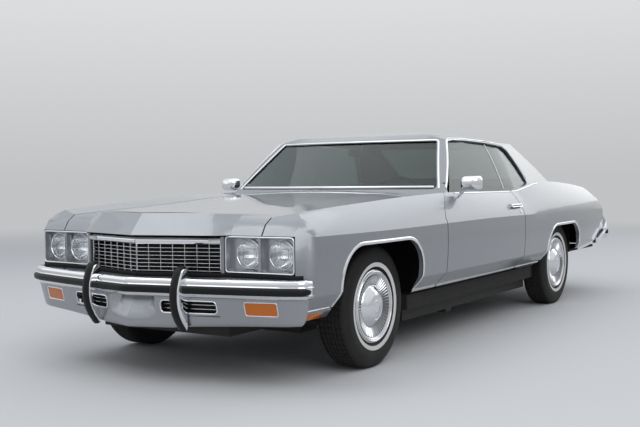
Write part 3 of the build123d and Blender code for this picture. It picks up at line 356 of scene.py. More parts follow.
def flutedGlass():  # lamp lens with upright prisms
    material = clearGlass("flutedGlass", (0.97, 0.98, 1.0, 1), 0.05)
    tree = material.node_tree
    wave = addNode(tree, "ShaderNodeTexWave", {"bands_direction": "X"}, Scale=34.0, Vector=objectPlace(tree))
    addBump(tree, wave.outputs["Fac"], 0.5, 0.002)
    return material


def seatVinyl():  # fine pebbled grain
    material, tree, shader = newMaterial("seatVinyl")
    pebbles = addNode(tree, "ShaderNodeTexVoronoi", Scale=420.0, Vector=objectPlace(tree))
    height = grainRoughness(tree, 14.0, 0.42, 0.15)
    tone = mixColors(tree, height, (0.028, 0.028, 0.031, 1), (0.052, 0.051, 0.052, 1))
    tree.links.new(tone, shader.inputs["Base Color"])
    addBump(tree, pebbles.outputs["Distance"], 0.3, 0.0006)
    return material


finish = {name: plainFinish(name) for name in finishes}
finish["silverPaint"] = silverPaint()
finish["tintedGlass"] = clearGlass("tintedGlass", (0.24, 0.295, 0.285, 1), 0.02, 0.3)
finish["flutedGlass"] = flutedGlass()
finish["seatVinyl"] = seatVinyl()
print("finishes made:", len(finish))

finishOfSlot = {
    "body_paint": "silverPaint", "window_glass": "tintedGlass", "bright_chrome": "brightChrome",
    "wheel_cover": "brushedCover", "tyre_rubber": "tyreRubber", "bumper_rubber": "blackRubber",
    "lamp_glass": "flutedGlass", "amber_lens": "amberLens", "red_lens": "redLens", "black_steel": "blackSteel",
    "engine_paint": "engineCasting", "exhaust_steel": "exhaustSteel", "tank_steel": "tankSteel",
    "floor_paint": "underseal", "grille_black": "flatBlack", "dash_plastic": "dashPlastic",
    "wheel_plastic": "wheelPlastic", "seat_vinyl": "seatVinyl",
}


# Mesh helpers
# how straight an edge runs along or across the car, half the nose's width, and crease angles (the rim's in radians)
creaseRules = {"along": 0.93, "across": 0.1, "noseHalf": 0.53, "panel": 32, "fine": 13, "cut": 35, "rim": 0.9}
mergeDistance = 0.00002
boxFaces = ((0, 1, 2, 3), (7, 6, 5, 4), (0, 4, 5, 1), (1, 5, 6, 2), (2, 6, 7, 3), (3, 7, 4, 0))


def meshOf(form, name):
    mesh = bpy.data.meshes.new(name)
    form.to_mesh(mesh)
    form.free()
    return mesh


def fromBmesh(name, form, material, smoothAngle=35, lengthwise=None):
    bmesh.ops.recalc_face_normals(form, faces=form.faces)
    mesh = meshOf(form, name)
    markSharp(mesh, smoothAngle, lengthwise)
    return addObject(name, mesh, material)


def markSharp(mesh, angle, lengthwise=None):
    # smooth shading that breaks at edges sharper than the angle, in degrees; a finer one for edges along the car and
    # for the upright ridges of its nose
    mesh.shade_smooth()
    form = bmesh.new()
    form.from_mesh(mesh)
    limit = math.radians(angle)
    fineLimit = math.radians(lengthwise or angle)
    for edge in form.edges:
        first, second = (v.co for v in edge.verts)
        run = (second - first).normalized()
        ridge = abs(run.x) < creaseRules["across"] and abs(first.x) < creaseRules["noseHalf"]
        fine = abs(run.y) > creaseRules["along"] or ridge
        edge.smooth = len(edge.link_faces) == 2 and edge.calc_face_angle(0) < (fineLimit if fine else limit)
    form.to_mesh(mesh)
    form.free()


def finishPiece(piece, body="root", slot="bright_chrome", *replaced):
    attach(piece, body)
    if replaced:
        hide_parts(*replaced)


def mirroredMesh(name, piece):  # the same mesh on the other side of the car, with its faces outwards
    mesh = piece.data.copy()
    mesh.transform(Matrix.Scale(-1, 4, (1, 0, 0)))
    mesh.flip_normals()
    return addObject(name, mesh)


def applyModifiers(piece):  # the evaluated mesh in place of the live modifiers
    graph = bpy.context.evaluated_depsgraph_get()
    mesh = bpy.data.meshes.new_from_object(piece.evaluated_get(graph))
    piece.modifiers.clear()
    piece.data = mesh


def addModifier(piece, kind, **settings):
    modifier = piece.modifiers.new(kind.lower(), kind)
    for name, value in settings.items():
        setattr(modifier, name, value)
    return modifier


def loftLoops(name, loops, material, angle=35, joined=False):
    # closed loops of equal length in order; their ends are capped, or joined into a ring
    form = bmesh.new()
    rows = [[form.verts.new(point) for point in loop] for loop in loops]
    count = len(rows[0])
    for near, far in zip(rows, rows[1:] + (rows[:1] if joined else [])):
        for k in range(count):
            m = (k + 1) % count
            form.faces.new((near[k], near[m], far[m], far[k]))
    if not joined:
        form.faces.new(rows[0])
        form.faces.new(rows[-1][::-1])
    return fromBmesh(name, form, material, angle)


def sweptStrip(name, path, normals, width, height, material="brightChrome", closed=False, sink=0.002):
    # a domed moulding along a path, standing up from the surface that the normals belong to
    profile = [(-0.5 * width, -sink), (-0.5 * width, 0.35 * height), (-0.3 * width, 0.85 * height), (0, height),
               (0.3 * width, 0.85 * height), (0.5 * width, 0.35 * height), (0.5 * width, -sink)]
    loops = []
    count = len(path)
    for i, point in enumerate(path):
        before = path[i - 1] if i or closed else path[i]
        after = path[(i + 1) % count] if i < count - 1 or closed else path[i]
        tangent = (after - before).normalized()
        normal = (normals[i] - tangent * normals[i].dot(tangent)).normalized()
        across = tangent.cross(normal)
        loops.append([point + across * a + normal * b for a, b in profile])
    return loftLoops(name, loops, material, 40, closed)


def beamPiece(name, beams, material, edge=0.0015):
    # rounded bars as one piece, each from start to end: width across it, depth back from the face that looks outward
    form = bmesh.new()
    for start, end, outward, width, depth in beams:
        along = (end - start).normalized()
        facing = (outward - along * outward.dot(along)).normalized()
        across = along.cross(facing) * width / 2
        corners = [form.verts.new(place + offset) for place in (start, end) for offset in
                   (across, -across, -across - facing * depth, across - facing * depth)]
        for face in boxFaces:
            form.faces.new([corners[i] for i in face])
    bmesh.ops.recalc_face_normals(form, faces=form.faces)
    bmesh.ops.bevel(form, geom=form.edges, offset=edge, segments=2, affect="EDGES", profile=0.5)
    return fromBmesh(name, form, material, 50)


def barPiece(name, start, end, outward, width, depth, material, edge=0.0015):
    return beamPiece(name, [(start, end, outward, width, depth)], material, edge)


def cutHoles(piece, outlines, y0, y1):  # openings through a piece from outlines of (x, z), cut along Y
    form = bmesh.new()
    for outline in outlines:
        near, far = ([form.verts.new((x, y, z)) for x, z in outline] for y in (y0, y1))
        form.faces.new(near)
        form.faces.new(far[::-1])
        for k in range(len(near)):
            m = (k + 1) % len(near)
            form.faces.new((near[m], near[k], far[k], far[m]))
    bmesh.ops.recalc_face_normals(form, faces=form.faces)
    cutter = addObject("cutter", meshOf(form, "cutter"))
    addModifier(piece, "BOOLEAN", object=cutter, operation="DIFFERENCE", solver="EXACT")
    applyModifiers(piece)
    bpy.data.objects.remove(cutter)
    markSharp(piece.data, creaseRules["cut"], creaseRules["fine"])


def roundedBox(x0, x1, z0, z1, radius, pieces=4):  # closed outline of (x, z)
    outline = []
    for cx, cz, start in ((x1 - radius, z1 - radius, 0), (x0 + radius, z1 - radius, 90),
                          (x0 + radius, z0 + radius, 180), (x1 - radius, z0 + radius, 270)):
        for k in range(pieces + 1):
            turn = math.radians(start + 90 * k / pieces)
            outline.append(Vector((cx + radius * math.cos(turn), cz + radius * math.sin(turn))))
    return outline


def resample(points, step):  # points at even steps along a polyline
    result = [points[0].copy()]
    for start, end in zip(points, points[1:]):
        pieces = max(1, round((end - start).length / step))
        result += [start.lerp(end, k / pieces) for k in range(1, pieces + 1)]
    return result


def sideLine(table):  # (station, z) pairs as points (y, z)
    return [Vector((at(station), z)) for station, z in table]


def shellOf(*names):  # ray-casting shell over some CAD nodes, or over pieces made here
    verts, faces = [], []
    for name in names:
        mesh = nodes[name].data if isinstance(name, str) else name.data
        base = len(verts)
        verts += [v.co.copy() for v in mesh.vertices]
        faces += [[base + i for i in p.vertices] for p in mesh.polygons]
    return BVHTree.FromPolygons(verts, faces)


# how far out the rays start, and what counts as the outside of the car
castSetup = {"fromSide": 1.4, "fromEnd": 3.5, "leastX": 0.4, "leastFacing": 0.2}


def castSideways(shell, side, y, z):
    return shell.ray_cast(Vector((side * castSetup["fromSide"], y, z)), Vector((-side, 0, 0)))[:2]


def sidePath(shell, side, outline):  # points (y, z) thrown onto the outside of one side: places and normals
    places, normals = [], []
    for y, z in outline:
        hit, normal = castSideways(shell, side, y, z)
        if hit and side * hit.x > castSetup["leastX"]:
            places.append(hit)
            normals.append(normal if side * normal.x > castSetup["leastFacing"] else Vector((side, 0, 0)))
    return places, normals


def layFromEnd(shell, direction, outline, facing=0):  # points (x, z) thrown onto the front or the rear
    places, normals = [], []
    for x, z in outline:
        start = Vector((x, -direction * castSetup["fromEnd"], z))
        hit, normal = shell.ray_cast(start, Vector((0, direction, 0)))[:2]
        if hit and abs(normal.y) >= facing:
            places.append(hit)
            normals.append(normal if direction * normal.y < 0 else -normal)
    return places, normals


def roundedOutline(corners, radii, step=0.03):  # polyline in the plane with its corners rounded
    points = [Vector(c) for c in corners]
    result = [points[0]]
    for i in range(1, len(points) - 1):
        radius = radii[i]
        toBefore = (points[i - 1] - points[i]).normalized()
        toAfter = (points[i + 1] - points[i]).normalized()
        if radius == 0:
            result.append(points[i])
            continue
        half = toBefore.angle(toAfter) / 2
        reach = radius / math.tan(half)
        centre = points[i] + (toBefore + toAfter).normalized() * radius / math.sin(half)
        start = points[i] + toBefore * reach - centre
        end = points[i] + toAfter * reach - centre
        turn = math.pi - 2 * half
        pieces = max(3, round(turn * radius / step) + 2)
        for k in range(pieces + 1):
            mixed = start * math.sin((1 - k / pieces) * turn) + end * math.sin(k / pieces * turn)
            result.append(centre + mixed / math.sin(turn))
    result.append(points[-1])
    return result


# Painted and plated panels: merged copies of the solids' skins, shaded smooth between their hard edges
def smoothCopy(node, material, name, lengthwise):
    form = bmesh.new()
    form.from_mesh(nodes[node].data)
    bmesh.ops.remove_doubles(form, verts=form.verts, dist=mergeDistance)
    finishPiece(fromBmesh(name, form, material, creaseRules["panel"], lengthwise), bodyOfNode[node], slotOfNode[node],
                node)


replacedLater = {"front_bench", "rear_bench", "headlamps", "front_bumper", "front_strip", "bumper_guards", "grille",
                 "mirror_left", "mirror_right"}
replacedLater |= {f"tyre_{place}" for place in wheelPlaces}
finishOfNode = {"lamp_bezels": "bezelSilver", "tail_lamps": "redLens"}
creased = ("front_fender", "door_left", "door_right", "quarter_panel", "hood", "trunk_lid", "rear_deck", "roof",
           "nose_panel", "cowl")
for node in nodes:
    if node not in replacedLater:
        smoothCopy(node, finishOfNode.get(node, finishOfSlot[slotOfNode[node]]), f"skin_{node}",
                   creaseRules["fine"] if node.startswith(creased) else None)
print("panels dressed")


# Geometry Nodes: one small mesh repeated round an axis along X, or along a straight row
def repeatTree(name, turned):
    tree = bpy.data.node_groups.new(name, "GeometryNodeTree")
    tree.interface.new_socket(name="Geometry", in_out="INPUT", socket_type="NodeSocketGeometry")
    sockets = {}
    for label, kind in (("Count", "NodeSocketInt"), ("Place", "NodeSocketVector"), ("Step", "NodeSocketVector"),
                        ("Finish", "NodeSocketMaterial")):
        sockets[label] = tree.interface.new_socket(name=label, in_out="INPUT", socket_type=kind).identifier
    tree.interface.new_socket(name="Geometry", in_out="OUTPUT", socket_type="NodeSocketGeometry")
    given = tree.nodes.new("NodeGroupInput").outputs
    line = addNode(tree, "GeometryNodeMeshLine", Count=given["Count"])
    copies = addNode(tree, "GeometryNodeInstanceOnPoints", Points=line.outputs["Mesh"], Instance=given["Geometry"])
    if turned:
        line.inputs["Offset"].default_value = (0, 0, 0)
        index = tree.nodes.new("GeometryNodeInputIndex").outputs[0]
        angle = mathNode(tree, "DIVIDE", mathNode(tree, "MULTIPLY", index, 2 * math.pi), given["Count"])
        feed(tree, copies.inputs["Rotation"], addNode(tree, "ShaderNodeCombineXYZ", X=angle).outputs[0])
    else:
        feed(tree, line.inputs["Offset"], given["Step"])
    move = addNode(tree, "GeometryNodeTransform", Geometry=copies.outputs["Instances"], Translation=given["Place"])
    real = addNode(tree, "GeometryNodeRealizeInstances", Geometry=move.outputs["Geometry"])
    coat = addNode(tree, "GeometryNodeSetMaterial", Geometry=real.outputs["Geometry"], Material=given["Finish"])
    addNode(tree, "NodeGroupOutput", Geometry=coat.outputs["Geometry"])
    return tree, sockets


roundTree = repeatTree("repeatRound", True)
rowTree = repeatTree("repeatInRow", False)


def repeatPiece(piece, repeat, count, material, smoothAngle, place=(0, 0, 0), step=(0, 0, 0)):
    tree, sockets = repeat
    modifier = piece.modifiers.new("repeat", "NODES")
    modifier.node_group = tree
    modifier[sockets["Count"]] = count
    modifier[sockets["Place"]] = tuple(place)
    modifier[sockets["Step"]] = tuple(step)
    modifier[sockets["Finish"]] = finish[material]
    applyModifiers(piece)
    markSharp(piece.data, smoothAngle)


def lathe(name, profile, centre, outward, material, segments=96, closed=False, angle=35):
    # profile of (distance outwards, radius) turned about an axis along outward
    across = Vector((0, 1, 0)) if abs(outward.x) > 0.7 else Vector((1, 0, 0))
    across = (across - outward * across.dot(outward)).normalized()
    rise = outward.cross(across)
    form = bmesh.new()
    rings = []
    for distance, radius in profile:
        if radius == 0:
            rings.append([form.verts.new(centre + outward * distance)])
            continue
        ring = []
        for k in range(segments):
            turn = 2 * math.pi * k / segments
            offset = outward * distance + across * (radius * math.sin(turn)) + rise * (radius * math.cos(turn))
            ring.append(form.verts.new(centre + offset))
        rings.append(ring)
    for near, far in zip(rings, rings[1:] + (rings[:1] if closed else [])):
        for k in range(segments):
            m = (k + 1) % segments
            if len(far) == 1:
                form.faces.new((near[k], near[m], far[0]))
            elif len(near) == 1:
                form.faces.new((near[0], far[m], far[k]))
            else:
                form.faces.new((near[k], near[m], far[m], far[k]))
    return fromBmesh(name, form, material, angle)


tyreSetup = {
    "halfTrack": 0.81, "axleHeight": 0.35, "segments": 120, "pitches": 64,
    "blockLean": 0.16, "blockHalf": 0.43, "blockTop": 0.88, "blockSunk": 0.002,
    "grooveRadius": 0.3435, "treadRadius": 0.3497,
    "whiteLow": 0.225, "whiteHigh": 0.249, "whiteOut": 0.05,
    # distance from the middle plane and radius, bead to shoulder
    "wall": ((0.0745, 0.2015), (0.079, 0.212), (0.0880, 0.2205), (0.0912, 0.2245), (0.0925, 0.2250), (0.0965, 0.2490),
             (0.0955, 0.2500), (0.0978, 0.262), (0.0995, 0.278), (0.0985, 0.290), (0.0962, 0.303), (0.0950, 0.3035),
             (0.0935, 0.312), (0.0925, 0.3125), (0.0895, 0.322), (0.0845, 0.333), (0.0790, 0.3395), (0.0710, 0.3435)),
    # rib centre, half width, and how far its outer edge drops
    "ribs": ((0.0, 0.0095, 0.0), (0.0235, 0.0095, 0.0), (-0.0235, 0.0095, 0.0), (0.0490, 0.0115, 0.0),
             (-0.0490, 0.0115, 0.0), (0.0715, 0.0075, 0.0055), (-0.0715, 0.0075, 0.0055)),
}
blockFaces = ((3, 2, 1, 0), (4, 5, 6, 7), (0, 1, 5, 4), (1, 2, 6, 5), (2, 3, 7, 6), (3, 0, 4, 7))


def buildTyre(place, side, centre, setup):
    profile = [(-d, r) for d, r in setup["wall"]] + list(setup["wall"][::-1])
    tyre = lathe(f"tyreBody_{place}", profile, centre, Vector((side, 0, 0)), "tyreRubber", setup["segments"], True, 28)
    tyre.data.materials.append(finish["whiteBand"])
    for face in tyre.data.polygons:
        offset = face.center - centre
        white = setup["whiteLow"] < math.hypot(offset.y, offset.z) < setup["whiteHigh"]
        if white and side * offset.x > setup["whiteOut"] and side * face.normal.x > 0.5:
            face.material_index = 1
    form = bmesh.new()
    pitch = 2 * math.pi * setup["treadRadius"] / setup["pitches"]
    half = setup["blockHalf"] * pitch
    for index, (middle, width, drop) in enumerate(setup["ribs"]):
        lean = setup["blockLean"] * pitch * (1 if index % 2 else -1)
        low, high = setup["grooveRadius"] - setup["blockSunk"], setup["treadRadius"]
        corners = []
        for level, shrink in ((low, 1.0), (high, setup["blockTop"])):
            for edge, along in ((-1, -1), (1, -1), (1, 1), (-1, 1)):
                top = level - (drop if edge * middle > 0 and level == high else 0)
                corners.append(form.verts.new((middle + edge * width * shrink,
                                               along * half * shrink + edge * lean, top)))
        for face in blockFaces:
            form.faces.new([corners[i] for i in face])
    tread = fromBmesh(f"treadBlocks_{place}", form, "tyreRubber", 20)
    repeatPiece(tread, roundTree, setup["pitches"], "tyreRubber", 20, centre)
    return tyre, tread


coverSetup = {
    "flutes": 56,
    # radius, distance out, rise and half width of a flute at three places
    "flute": ((0.123, 0.0685, 0.0035, 0.0022), (0.149, 0.0770, 0.0062, 0.0034), (0.175, 0.0855, 0.0035, 0.0044)),
    "dish": ((0.0672, 0.122), (0.0690, 0.124), (0.0848, 0.1745), (0.0872, 0.1765)),
    "outerBead": ((0.0925, 0.2025), (0.0955, 0.2005), (0.0965, 0.1970), (0.0950, 0.1935), (0.0935, 0.1925)),
    "dome": ((0.0700, 0.1205), (0.0745, 0.1180), (0.0800, 0.1080), (0.0860, 0.0985), (0.0945, 0.0880),
             (0.0985, 0.0780), (0.0990, 0.0765), (0.0975, 0.0745), (0.0990, 0.0725), (0.1012, 0.0560),
             (0.1030, 0.0330), (0.1040, 0.0310), (0.1030, 0.0290), (0.1045, 0.0140), (0.1050, 0.0)),
}


def buildCover(place, side, centre, setup):
    axle = Vector((side, 0, 0))
    dish = lathe(f"coverDish_{place}", setup["dish"], centre, axle, "flutedRing", 112)
    bead = lathe(f"coverBead_{place}", setup["outerBead"], centre, axle, "brightChrome", 96)
    dome = lathe(f"coverDome_{place}", setup["dome"], centre, axle, "brightChrome", 96, angle=50)
    loops = [[Vector((side * distance, -half, radius)), Vector((side * (distance + rise), 0, radius)),
              Vector((side * distance, half, radius))] for radius, distance, rise, half in setup["flute"]]
    flutes = loftLoops(f"coverFlutes_{place}", loops, "brushedCover", 20)
    repeatPiece(flutes, roundTree, setup["flutes"], "brushedCover", 20, centre)
    return dish, bead, dome, flutes


for place in wheelPlaces:
    side = 1 if place.endswith("left") else -1
    centre = spot(side * tyreSetup["halfTrack"], 0 if place.startswith("front") else wheelbase,
                  tyreSetup["axleHeight"])
    wheel = f"wheel_{place}"
    tyre, tread = buildTyre(place, side, centre, tyreSetup)
    finishPiece(tyre, wheel, "tyre_rubber", f"tyre_{place}")
    finishPiece(tread, wheel, "tyre_rubber")
    for piece in buildCover(place, side, centre, coverSetup):
        finishPiece(piece, wheel, "wheel_cover")
print("wheels made")


# Bright mouldings laid on the body
mouldingSetup = {
    "lipWidth": 0.020, "lipHeight": 0.006, "lipGrow": 0.006,
    # middle, half width, crown, corner, low ends
    "arches": {"frontLip": (-0.032, 0.447, 0.721, 0.200, 0.352, 0.376),
               "rearLip": (3.100, 0.450, 0.678, 0.230, 0.376, 0.448)},
    "rockerHeight": 0.391, "rockerWidth": 0.030, "rockerDepth": 0.005,
    "rockerProbe": (0.430, 0.465),  # heights at which the lower flank's slope is read
    "rockerRuns": (("root", 0.425, 0.742), ("door", 0.757, 2.100), ("root", 2.116, 2.640)),
    "tailRun": ((3.565, 0.436), (4.110, 0.462)),
    # name, how far outside the glass edge, width, height
    "rails": (("dripRail", 0.013, 0.010, 0.008), ("windowBead", 0.004, 0.005, 0.003)),
    "windowEdge": ((1.066, 0.995), (1.402, 1.326), (1.500, 1.337), (1.725, 1.342), (2.075, 1.331), (2.420, 1.311),
                   (2.520, 1.280), (2.637, 1.160), (2.730, 1.045)),
    "windowCorners": (0, 0.06, 0.10, 0.9, 0.9, 0.06, 0.05, 0.4, 0),
    # name, node, low corner, high corner, direction of the rays
    "openings": (("screen", "windshield", (0.808, 0.998), (0.642, 1.330), 1),
                 ("backlight", "backlight", (0.700, 1.062), (0.575, 1.322), -1)),
    "openingGrow": 0.008, "openingLow": 0.004, "sillIn": 0.03, "sillUp": 0.012,
    "trim": (0.012, 0.005), "sill": (0.020, 0.012), "leastFacing": 0.35, "stripStep": 0.03, "sillStep": 0.05,
    "openingCorner": 0.03, "rockerStep": 0.06,
}


def archOutline(arch, grow):
    middle, half, crown, corner, lowFront, lowRear = arch
    front, rear = at(middle - half - grow), at(middle + half + grow)
    corners = ((front, lowFront), (front, crown + grow), (rear, crown + grow), (rear, lowRear))
    return roundedOutline(corners, (0, corner + grow, corner + grow, 0))


def offsetOutline(points, grow):  # moves an open outline to its left by an amount
    moved = []
    for i, point in enumerate(points):
        before, after = points[max(i - 1, 0)], points[min(i + 1, len(points) - 1)]
        along = (after - before).normalized()
        moved.append(point + Vector((-along.y, along.x)) * grow)
    return moved


def layStrip(name, shell, side, outline, width, height, step=0.03, material="brightChrome"):
    return sweptStrip(name, *sidePath(shell, side, resample(outline, step)), width, height, material)


def lowerStrip(name, shell, side, run, setup):  # along the lower edge, on the tuck-under's slope carried down
    rise = run[0].y - setup["rockerHeight"]
    low, high = (level + rise for level in setup["rockerProbe"])
    places, normals = [], []
    for y, z in resample(run, setup["rockerStep"]):
        near, far = (castSideways(shell, side, y, level)[0] for level in (low, high))
        slope = (far - near).normalized()
        places.append(near - slope * (low - z) / slope.z)
        normals.append(Vector((side * slope.z, 0, -side * slope.x)).normalized())
    return sweptStrip(name, places, normals, setup["rockerWidth"], setup["rockerDepth"])


def flankOf(label):
    return shellOf(f"front_fender_{label}", f"door_{label}", f"quarter_panel_{label}")


def buildMouldings(setup):
    roof = shellOf("roof")
    edge = roundedOutline(sideLine(setup["windowEdge"]), setup["windowCorners"])
    for label, side in sides:
        flank = flankOf(label)
        for name, arch in setup["arches"].items():
            finishPiece(layStrip(f"{name}_{label}", flank, side, archOutline(arch, setup["lipGrow"]),
                                 setup["lipWidth"], setup["lipHeight"]))
        for index, (body, front, rear) in enumerate(setup["rockerRuns"]):
            run = sideLine((station, setup["rockerHeight"]) for station in (front, rear))
            finishPiece(lowerStrip(f"rocker{index}_{label}", flank, side, run, setup),
                        "root" if body == "root" else f"door_{label}")
        finishPiece(lowerStrip(f"tailRocker_{label}", flank, side, sideLine(setup["tailRun"]), setup))
        for name, offset, width, height in setup["rails"]:
            finishPiece(layStrip(f"{name}_{label}", roof, side, offsetOutline(edge, offset), width, height))
    for name, node, (lowX, lowZ), (highX, highZ), direction in setup["openings"]:
        grow = setup["openingGrow"]
        low, high = lowZ + setup["openingLow"], highZ + grow
        corners = ((lowX + grow, low), (highX + grow, high), (-highX - grow, high), (-lowX - grow, low))
        radius = setup["openingCorner"]
        outline = resample(roundedOutline(corners, (0, radius, radius, 0)), setup["stripStep"])
        trim = layFromEnd(roof, direction, outline, setup["leastFacing"])
        finishPiece(sweptStrip(f"{name}Trim", *trim, *setup["trim"]))
        half, level = lowX - setup["sillIn"], lowZ + setup["sillUp"]
        sill = resample([Vector((-half, level)), Vector((half, level))], setup["sillStep"])
        finishPiece(sweptStrip(f"{name}Sill", *layFromEnd(shellOf(node), direction, sill), *setup["sill"]))


buildMouldings(mouldingSetup)
print("mouldings laid")


# Front bumper: plan rows are (x, station) of the left half, from the middle outwards
bumperSetup = {
    "barRow": ((0, -1.062), (0.311, -0.998), (0.640, -0.922), (0.860, -0.864), (0.945, -0.822), (0.967, -0.790),
               (0.967, -0.700)),
    "apronRow": ((0, -1.050), (0.311, -0.955), (0.640, -0.864), (0.860, -0.812), (0.928, -0.772), (0.945, -0.742),
                 (0.945, -0.690)),
    "radii": (0, 0.9, 1.5, 0.22, 0.030, 0.022, 0),
    "barEnd": -0.748, "apronEnd": -0.761, "stripEnd": -0.772,
    "columns": (0, 0.04, 0.08, 0.12, 0.162, 0.170, 0.180, 0.20, 0.24, 0.28, 0.311, 0.35, 0.40, 0.45, 0.50, 0.55, 0.60,
                0.65, 0.70, 0.75, 0.80, 0.84, 0.87),
    "wrapColumns": 16, "planStep": 0.008,
    # height and how far in from the plan row, round the section; the lips stand out by the strip
    "barSection": ((0.5610, 0.040), (0.5735, 0.036), (0.5748, 0.022), (0.5722, 0.010), (0.5650, 0.0025), (0.5560, 0),
                   (0.5430, 0), (0.5400, -0.0065), (0.5375, -0.0075), (0.5360, -0.005), (0.5355, 0.003),
                   (0.4990, 0.003), (0.4985, -0.005), (0.4970, -0.0075), (0.4945, -0.0065), (0.4905, 0),
                   (0.4840, 0.003), (0.4790, 0.009), (0.4765, 0.016), (0.4765, 0.030), (0.5000, 0.040)),
    "stripSection": ((0.5350, 0.003), (0.5350, -0.0090), (0.5335, -0.0135), (0.5290, -0.0165), (0.5230, -0.0180),
                     (0.5110, -0.0180), (0.5050, -0.0165), (0.5005, -0.0135), (0.4990, -0.0090), (0.4990, 0.003)),
    "stripTaper": 5, "stripMiddle": 0.517, "bodyRoom": 0.040, "endRoom": 0.013, "endColumns": 7,
    "apronTop": 0.4775, "apronLow": 0.322, "apronIn": 0.016, "apronWall": 0.010, "apronEndWall": 0.005,
    # share of the apron's height, and how far in from its plan row it rolls there
    "apronRolls": ((0, 0.013), (0.03, 0.016), (0.12, 0.016), (0.25, 0.016), (0.40, 0.016), (0.55, 0.016), (0.70, 0.016),
                   (0.80, 0.016), (0.90, 0.016), (0.97, 0.018), (1.0, 0.023), (1.0, 0.031)),
    "facetDepth": 0.052, "facetLow": 0.362, "facetHigh": 0.470, "facetHalf": 0.162,
    "bottom": ((0, 0.312), (0.24, 0.312), (0.34, 0.320), (0.62, 0.331), (0.90, 0.340), (1.2, 0.344)),
    "endRadius": 0.055,
    "openings": {"slot": (0.190, 0.500, 0.392, 0.458, 0.020), "signal": (0.650, 0.820, 0.390, 0.460, 0.010)},
    "rimWidths": {"slot": 0.007, "signal": 0.006}, "cut": (-1.2, -0.7),
    "slotBars": (0.414, 0.436), "slotBarsIn": 0.046, "slotWallIn": 0.068, "slotWallOut": 0.012,
    # distance back, and height over the slot's low edge or, from the third to the sixth, over its high edge
    "slotWall": ((-0.034, -0.012), (0, -0.010), (0, 0.012), (-0.034, 0.013), (-0.034, 0.015), (0.003, 0.015),
                 (0.003, -0.014), (-0.034, -0.014)),
}


def cutLine(line, station):  # the part of a plan line before a station
    result = [line[0]]
    for start, end in zip(line, line[1:]):
        if (start.y - station) * (end.y - station) < 0:
            result.append(start.lerp(end, (station - start.y) / (end.y - start.y)))
            break
        result.append(end)
    return result


def planColumns(row, setup, station):
    # the same number of points on any plan row: at given x first, then evenly round the corner
    line = cutLine(roundedOutline(row, setup["radii"], setup["planStep"]), station)
    wrapped = setup["wrapColumns"]
    lengths = [0]
    for start, end in zip(line, line[1:]):
        lengths.append(lengths[-1] + (end - start).length)

    def spotAt(distance):
        for k, (start, end) in enumerate(zip(line, line[1:])):
            if distance <= lengths[k + 1] or k == len(line) - 2:
                return start.lerp(end, min(1, (distance - lengths[k]) / (lengths[k + 1] - lengths[k])))

    def distanceAtX(x):
        for k, (start, end) in enumerate(zip(line, line[1:])):
            if start.x <= x <= end.x:
                return lengths[k] + (x - start.x) / (end.x - start.x) * (lengths[k + 1] - lengths[k])

    spots = [distanceAtX(x) for x in setup["columns"]]
    spots += [spots[-1] + (lengths[-1] - spots[-1]) * k / wrapped for k in range(1, wrapped + 1)]
    points = [spotAt(distance) for distance in spots]
    inward = []
    for k in range(len(points)):
        along = points[min(k + 1, len(points) - 1)] - points[max(k - 1, 0)]
        inward.append(Vector((-along.y, along.x)).normalized() if k else Vector((0, 1 if along.y > 0 else -1)))
        if inward[-1].dot(Vector((-points[k].x, -points[k].y))) < 0 and k:
            inward[-1] = -inward[-1]
    return points, inward


def interpolated(table, x):
    for (x0, y0), (x1, y1) in zip(table, table[1:]):
        if x <= x1:
            return y0 + (y1 - y0) * max(0, x - x0) / (x1 - x0)
    return table[-1][1]


def bothHalves(loops):  # loops of the left half from the middle, and their mirror images before them
    mirrored = [[Vector((-p.x, p.y, p.z)) for p in loop] for loop in reversed(loops[1:])]
    return mirrored + loops


def barLoops(setup, section, station, taper=0, middle=0):  # a section carried along the bar's plan row
    points, inward = planColumns(setup["barRow"], setup, station)
    loops = []
    for k, (point, toBody) in enumerate(zip(points, inward)):
        left = len(points) - 1 - k
        share = 1 if left >= taper else math.sin(math.pi / 2 * (0.25 + 0.75 * left / taper))
        room = setup["endRoom"] if left < setup["endColumns"] else setup["bodyRoom"]
        loop = []
        for z, amount in section:
            place = point + toBody * min(amount * (share if amount < 0 else 1), room)
            loop.append(spot(place.x, place.y, middle + (z - middle) * share if taper else z))
        loops.append(loop)
    return bothHalves(loops)


def apronLoops(setup):
    lowPoints = planColumns(setup["apronRow"], setup, setup["apronEnd"])[0]
    points, inward = planColumns(setup["barRow"], setup, setup["apronEnd"])
    top, radius, last = setup["apronTop"], setup["endRadius"], len(points) - 1
    loops = []
    for k, (point, lowPoint, toBody) in enumerate(zip(points, lowPoints, inward)):
        low = interpolated(setup["bottom"], point.x)
        back = sum((points[m + 1] - points[m]).length for m in range(k, last))
        if back < radius:  # rounded lower corner
            low += radius - math.sqrt(radius ** 2 - (radius - back) ** 2)
        outer = []
        for share, roll in setup["apronRolls"]:
            z = top + (low - top) * share
            part = (top - z) / (top - setup["apronLow"])
            amount = setup["apronIn"] * (1 - part) + roll - setup["apronIn"]
            place = point.lerp(lowPoint, min(1.1, part)) + toBody * amount
            if point.x <= setup["facetHalf"] and share > 0:
                sunk = (z - setup["facetLow"]) / (setup["facetHigh"] - setup["facetLow"])
                place += toBody * setup["facetDepth"] * max(0, min(1, sunk))
            outer.append((place, z))
        wall = setup["apronWall"] if last - k > 5 else setup["apronEndWall"]
        inner = [(place + toBody * wall, z) for place, z in outer[-2:0:-1]]
        loops.append([spot(place.x, place.y, z) for place, z in outer + inner])
    return bothHalves(loops)


